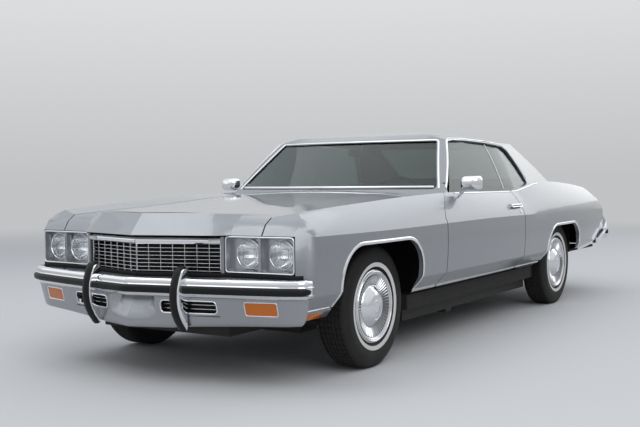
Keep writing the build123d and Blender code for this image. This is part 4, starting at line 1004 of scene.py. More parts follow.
def buildFrontBumper(setup):
    bar = loftLoops("bumperBar", barLoops(setup, setup["barSection"], setup["barEnd"]), "brightChrome", 40)
    strip = loftLoops("bumperStrip", barLoops(setup, setup["stripSection"], setup["stripEnd"], setup["stripTaper"],
                                              setup["stripMiddle"]), "blackRubber", 50)
    apron = loftLoops("bumperApron", apronLoops(setup), "bumperPaint", 30)
    finishPiece(bar, "root", "bright_chrome", "front_bumper")
    finishPiece(strip, "root", "bumper_rubber", "front_strip")
    finishPiece(apron, "root", "bright_chrome", "front_bumper")
    shell = shellOf(apron)
    outlines = []
    for kind, opening in setup["openings"].items():
        for label, side in sides:
            outlines.append([Vector((side * p.x, p.y)) for p in roundedBox(*opening)])
            finishPiece(sweptStrip(f"{kind}Rim_{label}", *layFromEnd(shell, 1, outlines[-1]), setup["rimWidths"][kind],
                                   0.003, closed=True, sink=0.004))
    cutHoles(apron, outlines, *(at(station) for station in setup["cut"]))
    x0, x1, z0, z1 = setup["openings"]["slot"][:4]
    wide = setup["slotWallOut"]
    for label, side in sides:  # dark wall and two bars behind each slot
        loops = []
        for k in range(9):
            x = x0 - wide + (x1 - x0 + 2 * wide) * k / 8
            base = spot(side * x, interpolated(setup["barRow"], x) + setup["slotWallIn"], 0)
            loops.append([base + Vector((0, back, (z1 if 2 <= index < 6 else z0) + rise))
                          for index, (back, rise) in enumerate(setup["slotWall"])])
        finishPiece(loftLoops(f"slotWall_{label}", loops, "flatBlack", 30), "root", "grille_black")
        beams = []
        for z in setup["slotBars"]:
            start, end = (spot(side * x, interpolated(setup["barRow"], x) + setup["slotBarsIn"], z) for x in (x0, x1))
            beams.append((start, end, forward, 0.004, 0.010))
        finishPiece(beamPiece(f"slotBars_{label}", beams, "brushedCover", 0.001))


buildFrontBumper(bumperSetup)

guardSetup = {
    "x": 0.311, "levels": (0.302, 0.306, 0.320, 0.350, 0.385, 0.420, 0.455, 0.490, 0.525, 0.555, 0.580, 0.600, 0.613,
                           0.620, 0.6235),
    "front": ((0.302, -0.972), (0.320, -0.988), (0.350, -1.012), (0.385, -1.031), (0.420, -1.0435), (0.470, -1.052),
              (0.525, -1.0465), (0.580, -1.029), (0.613, -1.012), (0.6235, -0.996)),
    "bodyIn": 0.010, "faceIn": 0.011, "halfWidth": 0.031, "endNarrower": 0.004,
    # in from the side and back from the front, along the rounded front corners
    "corner": ((0, 0.010), (0.003, 0.003), (0.009, 0)),
    "face": (0.047, 0.013), "topEnd": (-0.965, 0.626), "topNormals": ((0, -0.8, 0.6), (0, -0.3, 0.95), (0, 0, 1)),
    "back": (-0.958, -0.968), "backStep": 0.5745,
}


def buildGuards(setup):
    levels = setup["levels"]
    for label, side in sides:
        x = side * setup["x"]
        loops = []
        for z in levels:
            front = interpolated(setup["front"], z) + setup["bodyIn"]
            back = setup["back"][0 if z > setup["backStep"] else 1]
            half = setup["halfWidth"] - (setup["endNarrower"] if z in (levels[0], levels[-1]) else 0)
            corner = [(half - inset, front + behind) for inset, behind in setup["corner"]]
            section = [(-half, back)] + [(-across, y) for across, y in corner] + corner[::-1] + [(half, back)]
            loops.append([spot(x + across, min(y, back), z) for across, y in section])
        body = loftLoops(f"guardBody_{label}", loops, "brightChrome", 40)
        path = [spot(x, interpolated(setup["front"], z) + setup["faceIn"], z) for z in levels]
        path.append(spot(x, *setup["topEnd"]))
        normals = [forward] * (len(path) - 3) + [Vector(normal) for normal in setup["topNormals"]]
        face = sweptStrip(f"guardFace_{label}", path, normals, *setup["face"], "blackRubber", sink=0.006)
        finishPiece(body, "root", "bright_chrome", "bumper_guards")
        finishPiece(face, "root", "bumper_rubber", "bumper_guards")


buildGuards(guardSetup)

# Grille: two raked halves of thin bars in a bright frame under a header moulding
grilleSetup = {
    "half": 0.464, "corner": -0.848, "middle": -0.983, "recess": 0.014,
    "low": 0.573, "high": 0.775, "header": 0.034, "frame": 0.009,
    # how many, height or width of one, its depth
    "rows": (7, 0.0034, 0.016), "uprights": (6, 0.0030, 0.012),
    "sillDepth": 0.022, "endDepth": 0.026, "post": (0.007, 0.018), "postOut": 0.002,
    "headerUp": 0.017, "blockUp": 0.016, "blockOut": 0.004, "blockLength": 0.066,
}


def buildGrille(setup):
    start = spot(0, setup["middle"] + setup["recess"], 0)
    end = spot(setup["half"], setup["corner"] + setup["recess"], 0)
    along = (end - start).normalized()
    outward = Vector((along.y, -along.x, 0))
    low, high = setup["low"] + setup["frame"], setup["high"] - setup["header"]
    rows, rowHeight, rowDepth = setup["rows"]
    uprights, uprightWidth, uprightDepth = setup["uprights"]
    rowStep = upward * (high - low) / (rows + 1)
    uprightStep = along * (end - start).length / (uprights + 1)
    base = upward * low + rowStep
    row = barPiece("grilleRows_left", start + base, end + base, outward, rowHeight, rowDepth, "brushedCover", 0.0010)
    repeatPiece(row, rowTree, rows, "brushedCover", 50, step=rowStep)
    first = start + uprightStep
    upright = barPiece("grilleUprights_left", first + upward * low, first + upward * high, outward, uprightWidth,
                       uprightDepth, "brushedCover", 0.0009)
    repeatPiece(upright, rowTree, uprights, "brushedCover", 50, step=uprightStep)
    middle = setup["frame"] / 2
    sill, edge = upward * (setup["low"] + middle), end - along * middle
    beams = [(start + sill, end + sill, outward, setup["frame"], setup["sillDepth"]),
             (edge + upward * setup["low"], edge + upward * setup["high"], outward, setup["frame"],
              setup["endDepth"])]
    rim = beamPiece("grilleFrame_left", beams, "brightChrome", 0.002)
    spine = start + upward * low + outward * setup["postOut"]
    post = barPiece("grillePost_left", spine, spine + upward * (high - low), forward, *setup["post"], "brightChrome")
    top = upward * (high + setup["headerUp"])
    headerPath = resample([end + top, start + top], 0.03)
    header = sweptStrip("grilleHeader_left", headerPath, [outward] * (len(headerPath) - 1) + [forward],
                        setup["header"], 0.013, sink=0.010)
    blockStart = end + upward * (high + setup["blockUp"]) + outward * setup["blockOut"]
    block = sweptStrip("headerBlock_left", [blockStart, blockStart - along * setup["blockLength"]], [outward] * 2,
                       0.027, 0.015, "whitePaint", sink=0.006)
    for piece in (row, upright, rim, post, header, block):
        other = mirroredMesh(piece.name.replace("_left", "_right"), piece)
        for made in (piece, other):
            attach(made, "root")
            if "Rows" in made.name or "Uprights" in made.name:
                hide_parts("grille")


buildGrille(grilleSetup)

# Sealed lamps: a domed fluted lens over a bright bowl, held by a plated ring
lampSetup = {
    "places": ((0.606, -0.791), (0.798, -0.770)), "height": 0.694,
    # x, x, z, z and corner radius, then the stations of its two ends
    "rim": (0.494, 0.891, 0.601, 0.783, 0.016), "rimStations": (-0.8385, -0.8025),
    "divider": (0.7005, -0.8225), "dividerShort": 0.010,
    # name, slot, finish, segments, closed, crease angle, profile
    "parts": (
        ("Bowl", "bright_chrome", "lampSilver", 64, True, 35,
         ((-0.075, 0.006), (-0.070, 0.024), (-0.055, 0.043), (-0.034, 0.058), (-0.014, 0.0690), (-0.006, 0.0720),
          (-0.0075, 0.0735), (-0.016, 0.0720), (-0.036, 0.0610), (-0.058, 0.0460), (-0.074, 0.026), (-0.079, 0.006))),
        ("Ring", "bright_chrome", "brightChrome", 72, True, 50,
         ((-0.012, 0.0720), (-0.0040, 0.0708), (0.0010, 0.0712), (0.0034, 0.0735), (0.0030, 0.0762), (0.0005, 0.0785),
          (-0.006, 0.0795), (-0.020, 0.0800))),
        ("Lens", "lamp_glass", "flutedGlass", 64, False, 60,
         ((0.0095, 0), (0.0093, 0.012), (0.0084, 0.025), (0.0064, 0.040), (0.0034, 0.054), (-0.0004, 0.0655),
          (-0.0040, 0.0715), (-0.0080, 0.0715), (-0.0046, 0.0640), (-0.0004, 0.053), (0.0028, 0.039),
          (0.0048, 0.024), (0.0057, 0.011), (0.0059, 0))),
        ("Bulb", "bright_chrome", "lampSilver", 32, False, 35,
         ((-0.024, 0), (-0.026, 0.006), (-0.031, 0.0095), (-0.040, 0.0105), (-0.062, 0.0105))),
    ),
}


def buildLamps(setup):
    for label, side in sides:
        for index, (x, station) in enumerate(setup["places"]):
            centre = spot(side * x, station, setup["height"])
            for name, slot, material, segments, closed, angle, profile in setup["parts"]:
                part = lathe(f"lamp{name}{index}_{label}", profile, centre, forward, material, segments, closed, angle)
                finishPiece(part, "root", slot, "headlamps")
        x0, x1, z0, z1 = setup["rim"][:4]
        front0, front1 = setup["rimStations"]
        path = [spot(side * p.x, front0 + (front1 - front0) * (p.x - x0) / (x1 - x0), p.y)
                for p in roundedBox(*setup["rim"])]
        facing = Vector((side * (front1 - front0), -(x1 - x0), 0)).normalized()
        finishPiece(sweptStrip(f"lampFrame_{label}", path, [facing] * len(path), 0.007, 0.0035, closed=True,
                               sink=0.003))
        x, station = setup["divider"]
        start, end = (spot(side * x, station, z) for z in (z0 + setup["dividerShort"], z1 - setup["dividerShort"]))
        finishPiece(barPiece(f"lampDivider_{label}", start, end, facing, 0.0040, 0.020, "bezelSilver", 0.001), "root",
                    "grille_black")


buildLamps(lampSetup)
print("front end made")


# Small pieces laid on the body
def patchOn(name, shell, side, stations, heights, offsets, pieces, material, edge):
    # a raised plate that follows the flank between two stations and two heights
    form = bmesh.new()
    rows = []
    for i in range(pieces + 1):
        y = at(stations[0] + (stations[1] - stations[0]) * i / pieces)
        places, normals = sidePath(shell, side, [(y, z) for z in heights])
        if len(places) == 2:
            rows.append([form.verts.new(p + n * offset) for p, n in zip(places, normals) for offset in offsets])
    for near, far in zip(rows, rows[1:]):
        corners = near + far
        for face in ((0, 2, 6, 4), (1, 5, 7, 3), (0, 4, 5, 1), (2, 6, 7, 3)):
            form.faces.new([corners[i] for i in face])
    for row in (rows[0], rows[-1]):
        form.faces.new([row[i] for i in (0, 1, 3, 2)])
    bmesh.ops.recalc_face_normals(form, faces=form.faces)
    rims = [e for e in form.edges if e.calc_face_angle(0) > creaseRules["rim"]]
    bmesh.ops.bevel(form, geom=rims, offset=edge, segments=2, affect="EDGES", profile=0.5)
    return fromBmesh(name, form, material, 40)


def plateLoops(centre, side, box, layers):  # a rounded outline facing the tail, at each (behind, x scale, z scale)
    return [[centre + Vector((side * p.x * wide, behind, p.y * high)) for p in roundedBox(*box)]
            for behind, wide, high in layers]


sideSetup = {
    # lower fender skirt and its amber marker: stations, half width of the car there, middle height, width down the
    # slope, how far out, depth, finish and slot
    "skirts": (("skirt", (-0.738, -0.468), (0.879, 0.885), 0.370, 0.054, 0, 0.014, "silverPaint", "body_paint"),
               ("marker", (-0.684, -0.550), (0.8815, 0.8845), 0.368, 0.034, 0.004, 0.010, "amberLens", "amber_lens")),
    "skirtSlope": (0.79, -0.61),
    # name, body, width, line of (station, z)
    "strips": (("markerStrip", "root", 0.010, ((-0.705, 0.405), (-0.505, 0.405))),
               ("beltDoor", "door", 0.012, ((1.090, 0.970), (1.70, 0.966), (2.098, 0.964))),
               ("beltQuarter", "root", 0.012, ((2.118, 0.964), (2.23, 0.966), (2.62, 1.014), (2.72, 1.020)))),
    "stripHeight": 0.005, "stripStep": 0.05, "divider": 2.092, "dividerHeights": (0.985, 1.325),
    "handle": ((1.886, 0.864), (2.064, 0.864)), "lock": (2.050, 0.817),
    "recess": ((1.880, 2.070), (0.842, 0.852), (0.0012, -0.002), 8),  # painted shadow behind the door handle, a thin black plate on the flank: stations, heights, offsets, pieces
    "lockProfile": ((-0.004, 0.0125), (0.003, 0.0125), (0.0042, 0.0110), (0.0042, 0.0085), (0.0030, 0.0080),
                    (0.0030, 0)),
    # painted shade: a black band across the nose under the grille and lamps stands in for the shaded gap above the
    # bumper; plan row of (x, station)
    "fasciaBand": ((0, -0.983), (0.404, -0.866), (0.470, -0.848), (0.520, -0.836), (0.895, -0.802), (0.928, -0.770)),
    "gapShadeHeight": 0.584, "gapShadeOut": 0.0015, "gapShadeFacing": 0.22,
    "mirrorHead": (0.998, 1.130, 1.036), "mirrorFoot": (0.892, 1.165, 0.944),
    "mirrorBox": (-0.072, 0.072, -0.048, 0.048, 0.030, 6), "glassBox": (-0.072, 0.072, -0.048, 0.048, 0.028, 6),
    "mirrorScale": ((0.034, 0.965), (0.034, 1.0), (0.020, 1.0), (0.004, 0.97), (-0.012, 0.90), (-0.024, 0.79),
                    (-0.033, 0.62), (-0.039, 0.40), (-0.042, 0.15)),
    "glassLayers": ((0.0335, 0.90, 0.88), (0.0352, 0.90, 0.88)),
    "armProfile": ((0.010, 0.021), (0.016, 0.019), (0.026, 0.012), (0.060, 0.010), (0.112, 0.010), (0.120, 0.016)),
}


def buildMirror(label, side, setup):
    headX, headStation, headZ = setup["mirrorHead"]
    footX, footStation, footZ = setup["mirrorFoot"]
    centre, foot = spot(side * headX, headStation, headZ), spot(side * footX, footStation, footZ)
    layers = [(behind, scale, scale) for behind, scale in setup["mirrorScale"]]
    head = loftLoops(f"mirrorHead_{label}", plateLoops(centre, side, setup["mirrorBox"], layers), "brightChrome", 40)
    face = loftLoops(f"mirrorFace_{label}", plateLoops(centre, side, setup["glassBox"], setup["glassLayers"]),
                     "mirrorFace", 40)
    arm = lathe(f"mirrorArm_{label}", setup["armProfile"], foot, (centre - foot).normalized(), "brightChrome", 32)
    for piece in (head, arm, face):
        finishPiece(piece, f"door_{label}", "bright_chrome", f"mirror_{label}")


def buildSides(setup):
    slopeX, slopeZ = setup["skirtSlope"]
    for label, side in sides:
        flank = flankOf(label)
        door = f"door_{label}"
        outward = Vector((side * slopeX, 0, slopeZ))
        for name, stations, halves, z, width, lift, depth, material, slot in setup["skirts"]:
            start, end = (spot(side * x, station, z) + outward * lift for x, station in zip(halves, stations))
            finishPiece(barPiece(f"fender{name.capitalize()}_{label}", start, end, outward, width, depth, material,
                                 0.002), "root", slot)
        for name, body, width, line in setup["strips"]:
            finishPiece(layStrip(f"{name}_{label}", flank, side, sideLine(line), width, setup["stripHeight"],
                                 setup["stripStep"]), "root" if body == "root" else door)
        glass = shellOf("quarter_glass", f"door_glass_{label}")
        low, high = setup["dividerHeights"]
        outline = sideLine((setup["divider"], low + (high - low) * k / 12) for k in range(13))
        finishPiece(layStrip(f"glassDivider_{label}", glass, side, outline, 0.011, 0.004, setup["stripStep"]))
        handle = shellOf(f"door_handle_{label}")
        finishPiece(layStrip(f"handleInlay_{label}", handle, side, sideLine(setup["handle"]), 0.009, 0.0015,
                             setup["stripStep"], "blackRubber"), door, "bumper_rubber")
        # painted shadow: a thin black plate on the flank behind the door handle
        finishPiece(patchOn(f"handleShadow_{label}", flank, side, *setup["recess"], "flatBlack", 0.0005), door,
                    "grille_black")
        places, normals = sidePath(flank, side, sideLine([setup["lock"]]))
        finishPiece(lathe(f"doorLock_{label}", setup["lockProfile"], places[0], normals[0].normalized(),
                          "brightChrome", 32), door)
        buildMirror(label, side, setup)
        # painted shade: a thin black strip laid on the nose below the grille and lamps, in place of the shaded gap
        # above the bumper
        row = [spot(side * x, y, setup["gapShadeHeight"]) + forward * setup["gapShadeOut"] for x, y in setup["fasciaBand"]]
        path = resample(row, setup["stripStep"])
        normals = [Vector((side * setup["gapShadeFacing"], -1, 0)).normalized()] * len(path)
        finishPiece(sweptStrip(f"fasciaBand_{label}", path, normals, 0.021, 0.002, "flatBlack", sink=0.003), "root",
                    "grille_black")


buildSides(sideSetup)
print("sides made")

# Rear: lamp rims and ribs, reversing lamps, blank plate, strip edges, trunk lock and the band between the lamps
rearSetup = {
    "lamp": (0.470, 0.800, 0.588, 0.680, 0.010), "reverse": (0.476, 0.556, 0.594, 0.674),
    "ribs": 11, "ribsIn": (0.095, 0.012), "ribOut": 0.0022,
    "plate": (0.150, 0.499, 0.651), "plateStation": 4.526, "bolts": ((-0.089, 0.635), (0.089, 0.635)),
    "plateOut": 0.004, "plateRimOut": 0.0035,
    "boltProfile": ((-0.002, 0.0075), (0.002, 0.0075), (0.0040, 0.0055), (0.0045, 0)),
    "stripLips": (0.5205, 0.5635), "lipRun": (0.172, 0.945),
    "lock": (0.0, 0.840),
    "lockProfile": ((-0.006, 0.019), (0.004, 0.019), (0.0058, 0.0165), (0.0058, 0.012), (0.004, 0.011), (0.004, 0)),
    # height, width and finish of each strip
    "bandHeight": 0.737, "bandColumns": (-0.62, -0.4, -0.2, 0, 0.2, 0.4, 0.62),
    "bands": ((0.737, 0.026, "flatBlack"), (0.752, 0.006, "brightChrome"), (0.722, 0.006, "brightChrome")),
}


def buildTailLamp(label, side, bumper, lens, setup):
    outline = [Vector((side * p.x, p.y)) for p in roundedBox(*setup["lamp"])]
    finishPiece(sweptStrip(f"tailRim_{label}", *layFromEnd(bumper, -1, outline), 0.010, 0.005, closed=True,
                           sink=0.004))
    x0, x1, z0, z1 = setup["reverse"]
    outline = [(side * x0, z0), (side * x0, z1), (side * x1, z1), (side * x1, z0)]
    places = layFromEnd(lens, -1, outline)[0]
    loops = [[p + rearward * lift for p in places] for lift in (-0.001, 0.0025)]
    finishPiece(loftLoops(f"reverseLamp_{label}", loops, "whitePaint", 30), "root", "lamp_glass")
    ribs = []
    first, last = setup["lamp"][0] + setup["ribsIn"][0], setup["lamp"][1] - setup["ribsIn"][1]
    for k in range(setup["ribs"]):
        x = side * (first + (last - first) * k / (setup["ribs"] - 1))
        start, end = (p + rearward * setup["ribOut"] for p in layFromEnd(lens, -1, [(x, z0), (x, z1)])[0])
        ribs.append((start, end, rearward, 0.012, 0.004))
    finishPiece(beamPiece(f"tailRibs_{label}", ribs, "redLens", 0.0018), "root", "red_lens")


def buildPlate(setup):
    half, low, high = setup["plate"]
    place = spot(0, setup["plateStation"], 0)
    start, end = (place + Vector((x, setup["plateOut"], (low + high) / 2)) for x in (-half, half))
    finishPiece(barPiece("platePanel", start, end, rearward, high - low, 0.003, "plateBlank", 0.001))
    path = [place + Vector((p.x, setup["plateRimOut"], p.y)) for p in roundedBox(-half, half, low, high, 0.008)]
    finishPiece(sweptStrip("plateFrame", path, [rearward] * len(path), 0.006, 0.003, closed=True))
    for index, (x, z) in enumerate(setup["bolts"]):
        finishPiece(lathe(f"plateBolt{index}", setup["boltProfile"], place + Vector((x, setup["plateOut"], z)),
                          rearward, "brightChrome", 24))


def buildRear(setup):
    bumper = shellOf("rear_bumper", "tail_lamps")
    lens, bar = shellOf("tail_lamps"), shellOf("rear_bumper")
    for label, side in sides:
        buildTailLamp(label, side, bumper, lens, setup)
        near, far = setup["lipRun"]
        for index, z in enumerate(setup["stripLips"]):
            outline = [(side * (near + (far - near) * k / 30), z) for k in range(31)]
            finishPiece(sweptStrip(f"rearLip{index}_{label}", *layFromEnd(bar, -1, outline), 0.006, 0.007))
    buildPlate(setup)
    places, normals = layFromEnd(shellOf("trunk_lid"), -1, [setup["lock"]])
    finishPiece(lathe("trunkLock", setup["lockProfile"], places[0], normals[0].normalized(), "brightChrome", 40),
                bodyOfNode["trunk_lid"])
    places = layFromEnd(shellOf("tail_panel"), -1, [(x, setup["bandHeight"]) for x in setup["bandColumns"]])[0]
    for index, (z, width, material) in enumerate(setup["bands"]):
        path = [Vector((p.x, p.y, z)) for p in places]
        finishPiece(sweptStrip(f"tailBand{index}", path, [rearward] * len(path), width, 0.004, material))


buildRear(rearSetup)
print("rear made")


# Seats: pads blown up as cloth, then sewn into channels
padSetup = {
    "voxel": 0.0125, "pressure": 4.0, "cap": 0.022, "frames": 20, "quality": 4, "rounding": (0.5, 8),
    "channelStep": 0.064, "channelDepth": 0.0075, "channelWidth": 0.0065,
    "channelInset": 0.055, "channelReach": 0.012, "leastFacing": 0.45,
    # side profile (station, z), from x, to x, node, sewn face direction, run of the channels along it, mirrored
    "pads": {
        "frontCushion": (((1.500, 0.446), (1.496, 0.494), (1.560, 0.512), (1.955, 0.488), (1.985, 0.446)),
                         -0.634, 0.634, "front_bench", (0, 0, 1), (1.545, 1.925), False),
        "frontBack": (((1.992, 0.520), (2.106, 0.836), (2.176, 0.838), (2.192, 0.700), (2.120, 0.448), (2.010, 0.448)),
                      0.014, 0.634, "front_bench", (0, -0.94, 0.34), (0.555, 0.790), True),
        "rearCushion": (((2.424, 0.480), (2.420, 0.566), (2.455, 0.584), (2.842, 0.536), (2.850, 0.500),
                         (2.640, 0.500)), -0.568, 0.568, "rear_bench", (0, 0, 1), (2.470, 2.800), False),
        "rearBack": (((2.884, 0.576), (2.974, 0.940), (3.014, 0.944), (3.014, 0.566)), -0.568, 0.568, "rear_bench",
                     (0, -0.97, 0.24), (0.625, 0.890), False),
    },
    # x from, x to, station from, station to, z from, z to
    "bases": {
        "front_bench": ((0.165, 0.630, 1.510, 2.085, 0.338, 0.446), (-0.630, -0.165, 1.510, 2.085, 0.338, 0.446)),
        "rear_bench": ((0.165, 0.575, 2.420, 2.606, 0.306, 0.482), (-0.575, -0.165, 2.420, 2.606, 0.306, 0.482)),
    },
}


def padForm(name, profile, x0, x1, setup):
    loops = [[spot(x, station, z) for station, z in profile] for x in (x0, x1)]
    pad = loftLoops(name, loops, "seatVinyl", 180)
    addModifier(pad, "REMESH", mode="VOXEL", voxel_size=setup["voxel"], use_smooth_shade=True)
    factor, iterations = setup["rounding"]
    addModifier(pad, "SMOOTH", factor=factor, iterations=iterations)
    applyModifiers(pad)
    return pad


def blowUp(pad, setup):  # cloth under pressure, with each point's movement capped
    cloth = addModifier(pad, "CLOTH")
    cloth.settings.use_pressure = True
    cloth.settings.uniform_pressure_force = setup["pressure"]
    cloth.settings.effector_weights.gravity = 0
    cloth.settings.quality = setup["quality"]
    cloth.point_cache.frame_start = 1
    cloth.point_cache.frame_end = setup["frames"]
    scene = bpy.context.scene
    scene.frame_start, scene.frame_end = 1, setup["frames"]
    for number in range(1, setup["frames"] + 1):
        scene.frame_set(number)
    graph = bpy.context.evaluated_depsgraph_get()
    moved = [v.co.copy() for v in pad.evaluated_get(graph).data.vertices]
    pad.modifiers.remove(cloth)
    for vertex, place in zip(pad.data.vertices, moved):
        step = place - vertex.co
        if step.length > setup["cap"]:
            step *= setup["cap"] / step.length
        vertex.co = vertex.co + step
    scene.frame_set(1)


def sewChannels(pad, setup, x0, x1, faceOut, run):
    facing = Vector(faceOut).normalized()
    middle, half = (x0 + x1) / 2, (x1 - x0) / 2 - setup["channelInset"]
    count = max(2, round(2 * half / setup["channelStep"]))
    step = 2 * half / count
    reach = setup["channelReach"]
    mesh = pad.data
    normals = [v.normal.copy() for v in mesh.vertices]
    for vertex, normal in zip(mesh.vertices, normals):
        if normal.dot(facing) < setup["leastFacing"]:
            continue
        along = vertex.co.z if abs(facing.y) > 0.5 else vertex.co.y - frontAxleY
        across = vertex.co.x - middle
        if abs(across) > half + reach or not run[0] - reach < along < run[1] + reach:
            continue
        nearest = abs((across + half) / step - round((across + half) / step)) * step
        border = min(abs(along - run[0]), abs(along - run[1]))
        gap = min(nearest, border)
        vertex.co -= normal * setup["channelDepth"] * math.exp(-(gap / setup["channelWidth"]) ** 2)


def pipeRound(name, points, radius, material):  # tube of eight sides along an open path
    loops = []
    for k, point in enumerate(points):
        along = (points[min(k + 1, len(points) - 1)] - points[max(k - 1, 0)]).normalized()
        side = along.cross(upward if abs(along.z) < 0.9 else rearward).normalized()
        up = side.cross(along)
        loops.append([point + side * radius * math.cos(math.pi / 4 * m) + up * radius * math.sin(math.pi / 4 * m)
                      for m in range(8)])
    return loftLoops(name, loops, material, 60)


def buildSeats(setup):
    for name, (profile, x0, x1, node, faceOut, run, twin) in setup["pads"].items():
        pad = padForm(name, profile, x0, x1, setup)
        blowUp(pad, setup)
        addModifier(pad, "SUBSURF", levels=1, render_levels=1)
        applyModifiers(pad)
        sewChannels(pad, setup, x0, x1, faceOut, run)
        pad.data.shade_smooth()
        pads = [pad]
        if twin:
            pad.name = f"{name}_left"
            pads.append(mirroredMesh(f"{name}_right", pad))
        for made in pads:
            finishPiece(made, "root", "seat_vinyl", node)
    for node, boxes in setup["bases"].items():
        beams = [(spot((x0 + x1) / 2, y0, z1), spot((x0 + x1) / 2, y1, z1), upward, x1 - x0, z1 - z0)
                 for x0, x1, y0, y1, z0, z1 in boxes]
        finishPiece(beamPiece(f"seatBase_{node}", beams, "seatVinyl", 0.012), "root", "seat_vinyl", node)


buildSeats(padSetup)
print("seats made")

# Cabin lining, dials, door trims and the mirror on the screen
cabinSetup = {
    "carpet": ((-0.755, 0.755, 26), (0.800, 2.620, 50)), "liner": ((-0.520, 0.520, 20), (1.500, 2.560, 30)),
    "dials": ((0.300, 0.036), (0.400, 0.044), (0.500, 0.036)), "dialPlace": (1.2575, 0.930),
    "dialFacing": (0, 0.98, 0.18), "needleRun": (-0.6, -0.14, 0.78), "needleShort": 0.010, "needleOut": 0.0035,
    # distance outwards, and what is taken off the radius
    "dialRing": ((-0.004, 0), (0.004, 0), (0.0055, 0.0015), (0.0050, 0.0035), (0.0010, 0.0045)),
    "dashStrip": (-0.70, 0.70, 1.2605, 0.898),
    # name, station from and to, height, distance inwards, width, depth, finish, edge
    "doorBars": (("doorTrim", 0.860, 2.050, 0.6925, 0.008, 0.445, 0.008, "seatVinyl", 0.003),
                 ("armrest", 1.400, 1.980, 0.640, 0.058, 0.050, 0.052, "seatVinyl", 0.014)),
    "doorStrip": ("trimStrip", 0.88, 2.03, 0.80, 0.010, 0.008, 0.003, "brightChrome", 0.001),
    "doorProbe": (0.5, 1.5, 0.7), "pullHeight": 0.735,
    "pull": ((1.50, 0.006), (1.505, 0.030), (1.53, 0.036), (1.62, 0.036), (1.645, 0.030), (1.65, 0.006)),
    "viewMirror": (0.0, 1.452, 1.262),
    "viewBack": (-0.125, 0.125, -0.028, 0.028, 0.020, 5), "viewFace": (-0.125, 0.125, -0.028, 0.028, 0.018, 5),
    "viewLayers": ((0.008, 0.97, 0.97), (0.008, 1.0, 1.0), (0.0, 1.0, 1.0), (-0.006, 0.93, 0.93),
                   (-0.010, 0.78, 0.78)),
    "viewFaceLayers": ((0.0078, 0.95, 0.88), (0.0092, 0.95, 0.88)),
    "viewArm": ((0, -0.008, 0), (0, -0.020, 0.020), (0, -0.012, 0.066)),
}
sheetStep = 0.2  # a taller step than this leaves a hole in a draped sheet


def drapedSheet(name, shell, columns, direction, start, lift, material, thick=0.003):
    (x0, x1, nx), (y0, y1, ny) = columns
    form = bmesh.new()
    grid = []
    for i in range(nx + 1):
        row = []
        for k in range(ny + 1):
            x, y = x0 + (x1 - x0) * i / nx, at(y0 + (y1 - y0) * k / ny)
            hit = shell.ray_cast(Vector((x, y, start)), Vector((0, 0, direction)))[0]
            row.append(form.verts.new(hit - Vector((0, 0, direction * lift))) if hit else None)
        grid.append(row)
    for i in range(nx):
        for k in range(ny):
            corners = (grid[i][k], grid[i + 1][k], grid[i + 1][k + 1], grid[i][k + 1])
            if all(corners) and max(c.co.z for c in corners) - min(c.co.z for c in corners) < sheetStep:
                form.faces.new(corners if direction < 0 else corners[::-1])
    bmesh.ops.delete(form, geom=[v for v in form.verts if not v.link_faces], context="VERTS")
    mesh = meshOf(form, name)
    mesh.shade_smooth()
    sheet = addObject(name, mesh, material)
    addModifier(sheet, "SOLIDIFY", thickness=thick, offset=1)
    applyModifiers(sheet)
    return sheet


def buildDials(setup):
    outward, run = Vector(setup["dialFacing"]).normalized(), Vector(setup["needleRun"]).normalized()
    for index, (x, radius) in enumerate(setup["dials"]):
        centre = spot(x, *setup["dialPlace"])
        ring = lathe(f"dialRing{index}", [(out, radius - less) for out, less in setup["dialRing"]], centre, outward,
                     "brightChrome", 48)
        face = lathe(f"dialFace{index}", ((0.0012, radius - 0.004), (0.0012, 0.003), (0.0032, 0.003), (0.0035, 0)),
                     centre, outward, "flatBlack", 48)
        start = centre + outward * setup["needleOut"]
        needle = barPiece(f"dialNeedle{index}", start, start + run * (radius - setup["needleShort"]), outward, 0.0018,
                          0.001, "whitePaint", 0.0003)
        finishPiece(ring)
        finishPiece(face, "root", "dash_plastic")
        finishPiece(needle, "root", "dash_plastic")


def trimDoor(label, side, setup):
    probeX, probeStation, probeZ = setup["doorProbe"]
    door, inward = f"door_{label}", Vector((-side, 0, 0))
    wall = shellOf(door).ray_cast(spot(side * probeX, probeStation, probeZ), -inward)[0].x

    def addBar(name, near, far, z, offset, *shape):
        start, end = (spot(wall - side * offset, station, z) for station in (near, far))
        finishPiece(barPiece(f"{name}_{label}", start, end, inward, *shape), door, "seat_vinyl")

    for bar in setup["doorBars"]:
        addBar(*bar)
    path = [spot(wall - side * offset, station, setup["pullHeight"]) for station, offset in setup["pull"]]
    finishPiece(pipeRound(f"doorPull_{label}", path, 0.005, "brightChrome"), door, "seat_vinyl")
    addBar(*setup["doorStrip"])


def buildCabin(setup):
    roof = shellOf("roof")
    finishPiece(drapedSheet("carpetFloor", shellOf("floor_pan"), setup["carpet"], -1, 0.72, 0.003, "carpet"), "root",
                "floor_paint")
    finishPiece(drapedSheet("headliner", roof, setup["liner"], 1, 1.10, 0.004, "headliner"), "root", "dash_plastic")
    buildDials(setup)
    x0, x1, station, z = setup["dashStrip"]
    path = [spot(x0 + (x1 - x0) * k / 20, station, z) for k in range(21)]
    finishPiece(sweptStrip("dashStrip", path, [rearward] * len(path), 0.010, 0.003))
    for label, side in sides:
        trimDoor(label, side, setup)
    centre = spot(*setup["viewMirror"])
    for name, box, layers, material in (("viewMirrorBack", "viewBack", "viewLayers", "dashPlastic"),
                                        ("viewMirrorFace", "viewFace", "viewFaceLayers", "mirrorFace")):
        finishPiece(loftLoops(name, plateLoops(centre, 1, setup[box], setup[layers]), material, 40), "root",
                    "dash_plastic")
    path = [centre + Vector(offset) for offset in setup["viewArm"]]
    finishPiece(pipeRound("viewMirrorArm", path, 0.006, "brightChrome"))


buildCabin(cabinSetup)
print("cabin made")


